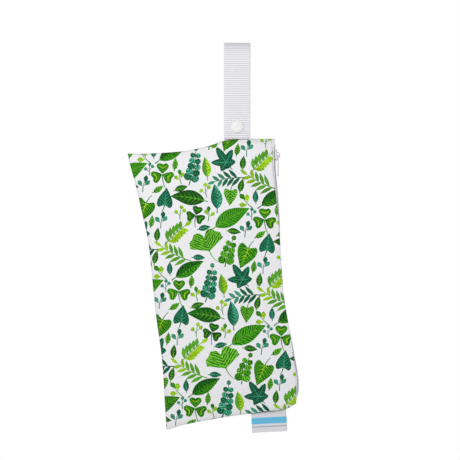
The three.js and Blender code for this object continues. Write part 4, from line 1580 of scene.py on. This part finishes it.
def pull():
    """A tab with an eye at its top and a rounded foot, with a shallow panel on both faces."""
    top = PULL_BAR / 2
    tab = cube((PULL_THICK, PULL_WIDTH, top + PULL_LENGTH), (PIVOT_HEIGHT, 0, (top - PULL_LENGTH) / 2))

    def beside_eye(centre, normal):
        return -PULL_EYE_LENGTH < centre.z < -top

    def in_eye(centre, normal):
        return beside_eye(centre, normal) and abs(normal.x) > FACING and abs(centre.y) < PULL_EYE_WIDTH / 2

    def on_face(vert):
        return abs(abs(vert.co.x - PIVOT_HEIGHT) - PULL_THICK / 2) < ON_PLANE

    # Eye
    for height in (-top, -PULL_EYE_LENGTH):
        bpy.ops.mesh.select_all(action="SELECT")
        bpy.ops.mesh.bisect(plane_co=(0, 0, height), plane_no=(0, 0, 1))
    for side in (FRONT, BACK):
        select_faces(tab, beside_eye)
        bpy.ops.mesh.bisect(plane_co=(0, side * PULL_EYE_WIDTH / 2, 0), plane_no=(0, 1, 0))
    select_faces(tab, in_eye)
    bpy.ops.mesh.bridge_edge_loops()

    # Taper, foot and shoulders
    for vert in bmesh.from_edit_mesh(tab.data).verts:
        if vert.co.z < -PULL_EYE_LENGTH - top:
            vert.co.y *= PULL_WAIST / PULL_WIDTH
    for height, rounding in ((-PULL_LENGTH, PULL_WAIST / 2 - PULL_FOOT_FLAT), (top, PULL_SHOULDER)):
        select_edges(
            tab,
            lambda edge: all(abs(v.co.z - height) < ON_PLANE for v in edge.verts)
            and out_of_zip(edge) > PULL_THICK / 2,
        )
        bpy.ops.mesh.bevel(offset=rounding, segments=8, affect="EDGES")

    # Panels and rims
    select_faces(tab, lambda centre, normal: abs(normal.x) > FACING and centre.z < -PULL_EYE_LENGTH)
    bpy.ops.mesh.inset(thickness=PULL_FRAME, depth=0)
    bpy.ops.mesh.inset(thickness=PULL_PANEL_SLOPE, depth=-PULL_PANEL_DEEP)
    select_edges(
        tab, lambda edge: all(on_face(v) for v in edge.verts) and edge.calc_face_angle(0.0) > RIM_ANGLE
    )
    bpy.ops.mesh.bevel(offset=PULL_RIM, segments=3, affect="EDGES")
    obj = finished("zip_pull_tab", leave_edit(tab), slider_matrix)
    dress(obj, enamel_finish, "zip_pull", body="pull")


# Strap: up the back, over the loop and down the front

RIB_HEIGHT = 0.26
RIB_POWER = 0.7
GROOVE_NARROWS = 0.006
STRAP_STEP = 0.25
STRAP_SOFTEN = 7
STRAP_COLUMNS = 16
STRAP_EDGE = 0.45
STRAP_EDGE_TURNS = (20, 45, 70, 90, 110, 135, 160)
LOOP_STEPS = 48


def softened(line):
    """The line averaged over its near points, apart from its ends."""
    reach = 3 * STRAP_SOFTEN
    weights = np.exp(-0.5 * (np.arange(-reach, reach + 1) / STRAP_SOFTEN) ** 2)
    weights /= weights.sum()
    result = line.copy()
    for i in range(2):
        result[reach:-reach, i] = np.convolve(line[:, i], weights, mode="valid")
    return result


def strap_line():
    """Even, softened points of the strap's middle line, as depth and height."""
    middle_radius = LOOP_RADIUS + STRAP_THICK / 2
    flat_top = -SNAP_DROP + SNAP_FLAT_ABOVE

    def tangent_angle(depth):
        rise = flat_top + LOOP_RADIUS
        return atan2(rise, abs(depth)) + acos(middle_radius / hypot(depth, rise))

    rear = tangent_angle(0.0)
    front = pi - tangent_angle(LAYER_DEPTH)
    corners = [(0.0, -POUCH_DROP - STRAP_SEWN_IN), (0.0, flat_top)]
    for i in range(LOOP_STEPS + 1):
        angle = rear + (front - rear) * i / LOOP_STEPS
        corners.append((middle_radius * cos(angle), middle_radius * sin(angle) - LOOP_RADIUS))
    tail_top = -SNAP_DROP - TAIL_BELOW_SNAP
    tail_end = -POUCH_DROP + STRAP_END_ABOVE_SEAM
    corners += [(LAYER_DEPTH, flat_top), (LAYER_DEPTH, tail_top), (LAYER_DEPTH + TAIL_BENDS_IN, tail_end)]
    corners = np.array(corners)
    lengths = lengths_along(corners)
    places = np.linspace(0, lengths[-1], int(lengths[-1] / STRAP_STEP))
    return softened(np.stack([np.interp(places, lengths, corners[:, i]) for i in range(2)], axis=-1))


def strap_section():
    """Places across the strap's section, and out of it as shares of half its thickness."""
    flat_half = STRAP_WIDTH / 2 - STRAP_EDGE
    face = np.linspace(-flat_half, flat_half, STRAP_COLUMNS)
    turn = np.radians(STRAP_EDGE_TURNS)
    edge = flat_half + STRAP_EDGE * np.sin(turn)
    edge_out = np.cos(turn)
    across = np.concatenate([face, edge, face[::-1], -edge])
    out = np.concatenate([np.ones(STRAP_COLUMNS), edge_out, -np.ones(STRAP_COLUMNS), -edge_out])
    return across, out


def strap():
    """One length of ribbed webbing, with the ribs across it."""
    line = strap_line()
    places = lengths_along(line)
    section_across, section_out = strap_section()
    rings = []
    uv = []
    for (depth, height), (out_y, out_z), place in zip(line, right_of(line), places):
        rib = abs(sin(pi * place / RIB_PITCH)) ** RIB_POWER
        width = section_across * (1 - GROOVE_NARROWS * (1 - rib))
        out = section_out * (STRAP_THICK / 2 - RIB_HEIGHT * (1 - rib))
        rings.append(np.stack([width, depth + out_y * out, height + out_z * out], axis=-1) * MM)
        uv.append(np.stack([section_across, np.full_like(section_across, place)], axis=-1))
    obj = lofted("strap_webbing", rings, uv)
    dress(obj, webbing_finish, "strap")


# Snap, turned on an axis along Y. Profiles are radius and reach.

SNAP_SIDES = 64
CAP_PROFILE = (
    (5.5, 0.0), (5.95, 0.1), (6.1, 0.34), (5.98, 0.66), (5.6, 1.02), (5.0, 1.36), (4.2, 1.64), (3.4, 1.82),
    (2.7, 1.9), (2.0, 1.91), (1.2, 1.88), (0.5, 1.86),
)
CORE_PROFILE = (
    (4.2, 0.0), (4.75, 0.1), (4.9, 0.3), (4.9, 1.2), (4.6, 1.4), (4.6, 1.7), (4.9, 1.9), (4.9, 2.8),
    (4.75, 3.0), (4.2, 3.1), (2.0, 3.1),
)


def turned(name, profile, depth, side, node):
    """A turned piece: a disc that is extruded and resized ring by ring."""
    deselect_all()
    first_radius, first_reach = profile[0]
    bpy.ops.mesh.primitive_circle_add(
        vertices=SNAP_SIDES, radius=first_radius, fill_type="NGON",
        location=(0, depth + side * first_reach, -SNAP_DROP), rotation=(pi / 2, 0, 0),
    )
    obj = bpy.context.object
    enter_edit()
    centre = Vector((0, depth, -SNAP_DROP))
    for (radius, reach), (next_radius, next_reach) in zip(profile, profile[1:]):
        bpy.ops.mesh.extrude_region_move(
            TRANSFORM_OT_translate={"value": (0, side * (next_reach - reach), 0)}
        )
        scale = next_radius / radius
        bpy.ops.transform.resize(value=(scale, 1, scale), center_override=centre)
    bpy.ops.mesh.select_all(action="SELECT")
    bpy.ops.mesh.normals_make_consistent(inside=False)
    obj = finished(name, leave_edit(obj), Matrix.Scale(MM, 4))
    dress(obj, snap_finish, node)


# Label: a ribbon folded in half, its ends in the bottom seam

RIBBON_THICK = 0.32
RIBBON_APART = 0.3
LABEL_STEP = 0.5
LABEL_COLUMNS = 24
LABEL_FOLD_POINTS = 9
LABEL_BOW = 1.2
LABEL_CURL = 0.5
LABEL_WAVE = 0.25
LABEL_WAVE_TURN = 2.2 * pi
LABEL_WAVE_START = 0.6


def label_line():
    """Depth and drop along the ribbon: down the front layer, round the fold and up the back layer."""
    half = RIBBON_APART / 2 + RIBBON_THICK / 2
    drops = np.arange(-LABEL_SEWN_IN, LABEL_HANGS - half, LABEL_STEP)
    front = [(-half, d) for d in drops]
    turn = np.linspace(0, pi, LABEL_FOLD_POINTS)
    fold = [(-half * cos(a), LABEL_HANGS - half + half * sin(a)) for a in turn]
    return np.array(front + fold + [(half, d) for d in drops[::-1]])


def label():
    """The folded ribbon, which bows forward and curls a little as it hangs."""
    line = label_line()
    outward = -right_of(line) * RIBBON_THICK / 2
    places = lengths_along(line) - LABEL_SEWN_IN
    columns = np.linspace(-0.5, 0.5, LABEL_COLUMNS + 1)
    across = columns * LABEL_WIDTH
    curl = LABEL_CURL * (2 * columns) ** 3 + LABEL_WAVE * np.cos(LABEL_WAVE_TURN * columns + LABEL_WAVE_START)
    rings = []
    uv = []
    for (depth, drop), (out_y, out_d), place in zip(line, outward, places):
        share = max(drop, 0.0) / LABEL_HANGS
        bent = depth - LABEL_BOW * share**2 + curl * share
        front = np.stack([across, bent + out_y, np.full_like(across, -(drop + out_d))], axis=-1)
        back = np.stack([across, bent - out_y, np.full_like(across, -(drop - out_d))], axis=-1)
        rings.append(np.concatenate([front, back[::-1]]) * MM)
        flat = np.stack([across, np.full_like(across, place)], axis=-1)
        uv.append(np.concatenate([flat, flat[::-1]]))
    obj = lofted("label_ribbon", rings, uv)
    left, right = sides(1.0)
    seam_down = float(down_at((LABEL_MIDDLE - left) / (right - left), 1.0))
    in_seam = Matrix.Translation((LABEL_MIDDLE * MM, 0, -seam_down * MM))
    obj.data.transform(pouch_matrix @ in_seam @ Matrix.Rotation(LABEL_TURN, 4, "Y"))
    dress(obj, label_finish, "label")


# Finishes and pieces

cloth_finish = printed_cloth()
tape_finish = tape_weave()
coil_finish = coil_nylon()
enamel_finish = slider_enamel()
webbing_finish = webbing()
snap_finish = snap_plastic()
label_finish = label_ribbon()

panel("front_cloth", FRONT, "front_panel")
panel("back_cloth", BACK, "back_panel")
tape("front_tape", FRONT, "zip_tape_front")
tape("back_tape", BACK, "zip_tape_back")
coil()
slider()
pull()
strap()
off_layer = STRAP_THICK / 2 + PIECE_GAP
turned("snap_front_cap", CAP_PROFILE, LAYER_DEPTH - off_layer, FRONT, "snap_cap")
turned("snap_socket", CORE_PROFILE, LAYER_DEPTH + off_layer, BACK, "snap_core")
turned("snap_rear_cap", CAP_PROFILE, off_layer, BACK, "snap_back_cap")
label()


# Stage, light and camera, in metres

FLOOR_HEIGHT = -0.75
FLOOR_RADIUS = 1.9
FLOOR_SIDES = 96
FLOOR_GLOW = 0.55
AMBIENT = 0.42
SKY = 1.0
LENS = 100
SENSOR = 36
VIEW_WIDTH = 0.437
VIEW_CENTRE = (-0.00684, -0.004, -0.177)

# Each light's place, width and power
LIGHT_AIM = (0, 0, -0.17)
LIGHTS = {
    "key": ((-0.24, -0.73, 0.03), 0.5, 3.75),
    "rear": ((0.24, 0.73, 0.03), 0.5, 3.75),
    "fill": ((0.8, 0, -0.15), 0.4, 1.2),
}


def floor():
    deselect_all()
    bpy.ops.mesh.primitive_circle_add(vertices=FLOOR_SIDES, radius=FLOOR_RADIUS, fill_type="NGON")
    obj = bpy.context.object
    obj.name = "floor"
    obj.data.transform(Matrix.Translation((0, 0, FLOOR_HEIGHT)))
    obj.data.materials.append(pale_floor())


def soft_light(name, place, width, power):
    lamp = bpy.data.lights.new(name, "AREA")
    lamp.shape = "DISK"
    lamp.size = width
    lamp.energy = power
    obj = bpy.data.objects.new(name, lamp)
    obj.location = place
    obj.rotation_euler = (Vector(LIGHT_AIM) - Vector(place)).to_track_quat("-Z", "Y").to_euler()
    bpy.context.collection.objects.link(obj)


def sky():
    """Even light from all round, with a white ground behind the object."""
    world = bpy.data.worlds.new("studio")
    world.use_nodes = True
    tree = world.node_tree
    background = tree.nodes["Background"]
    background.inputs["Color"].default_value = WHITE
    path = tree.nodes.new("ShaderNodeLightPath")
    level = tree.nodes.new("ShaderNodeMapRange")
    level.inputs["To Min"].default_value = AMBIENT
    level.inputs["To Max"].default_value = SKY
    tree.links.new(path.outputs["Is Camera Ray"], level.inputs["Value"])
    tree.links.new(level.outputs["Result"], background.inputs["Strength"])
    bpy.context.scene.world = world


def camera():
    data = bpy.data.cameras.new("camera")
    data.lens = LENS
    data.sensor_width = SENSOR
    obj = bpy.data.objects.new("camera", data)
    x, y, z = VIEW_CENTRE
    obj.location = (x, y - VIEW_WIDTH * LENS / SENSOR, z)
    obj.rotation_euler = (pi / 2, 0, 0)
    bpy.context.collection.objects.link(obj)
    bpy.context.scene.camera = obj


floor()
sky()
for light_name, (place, width, power) in LIGHTS.items():
    soft_light(light_name, place, width, power)
camera()
bpy.context.scene.view_settings.view_transform = "Standard"
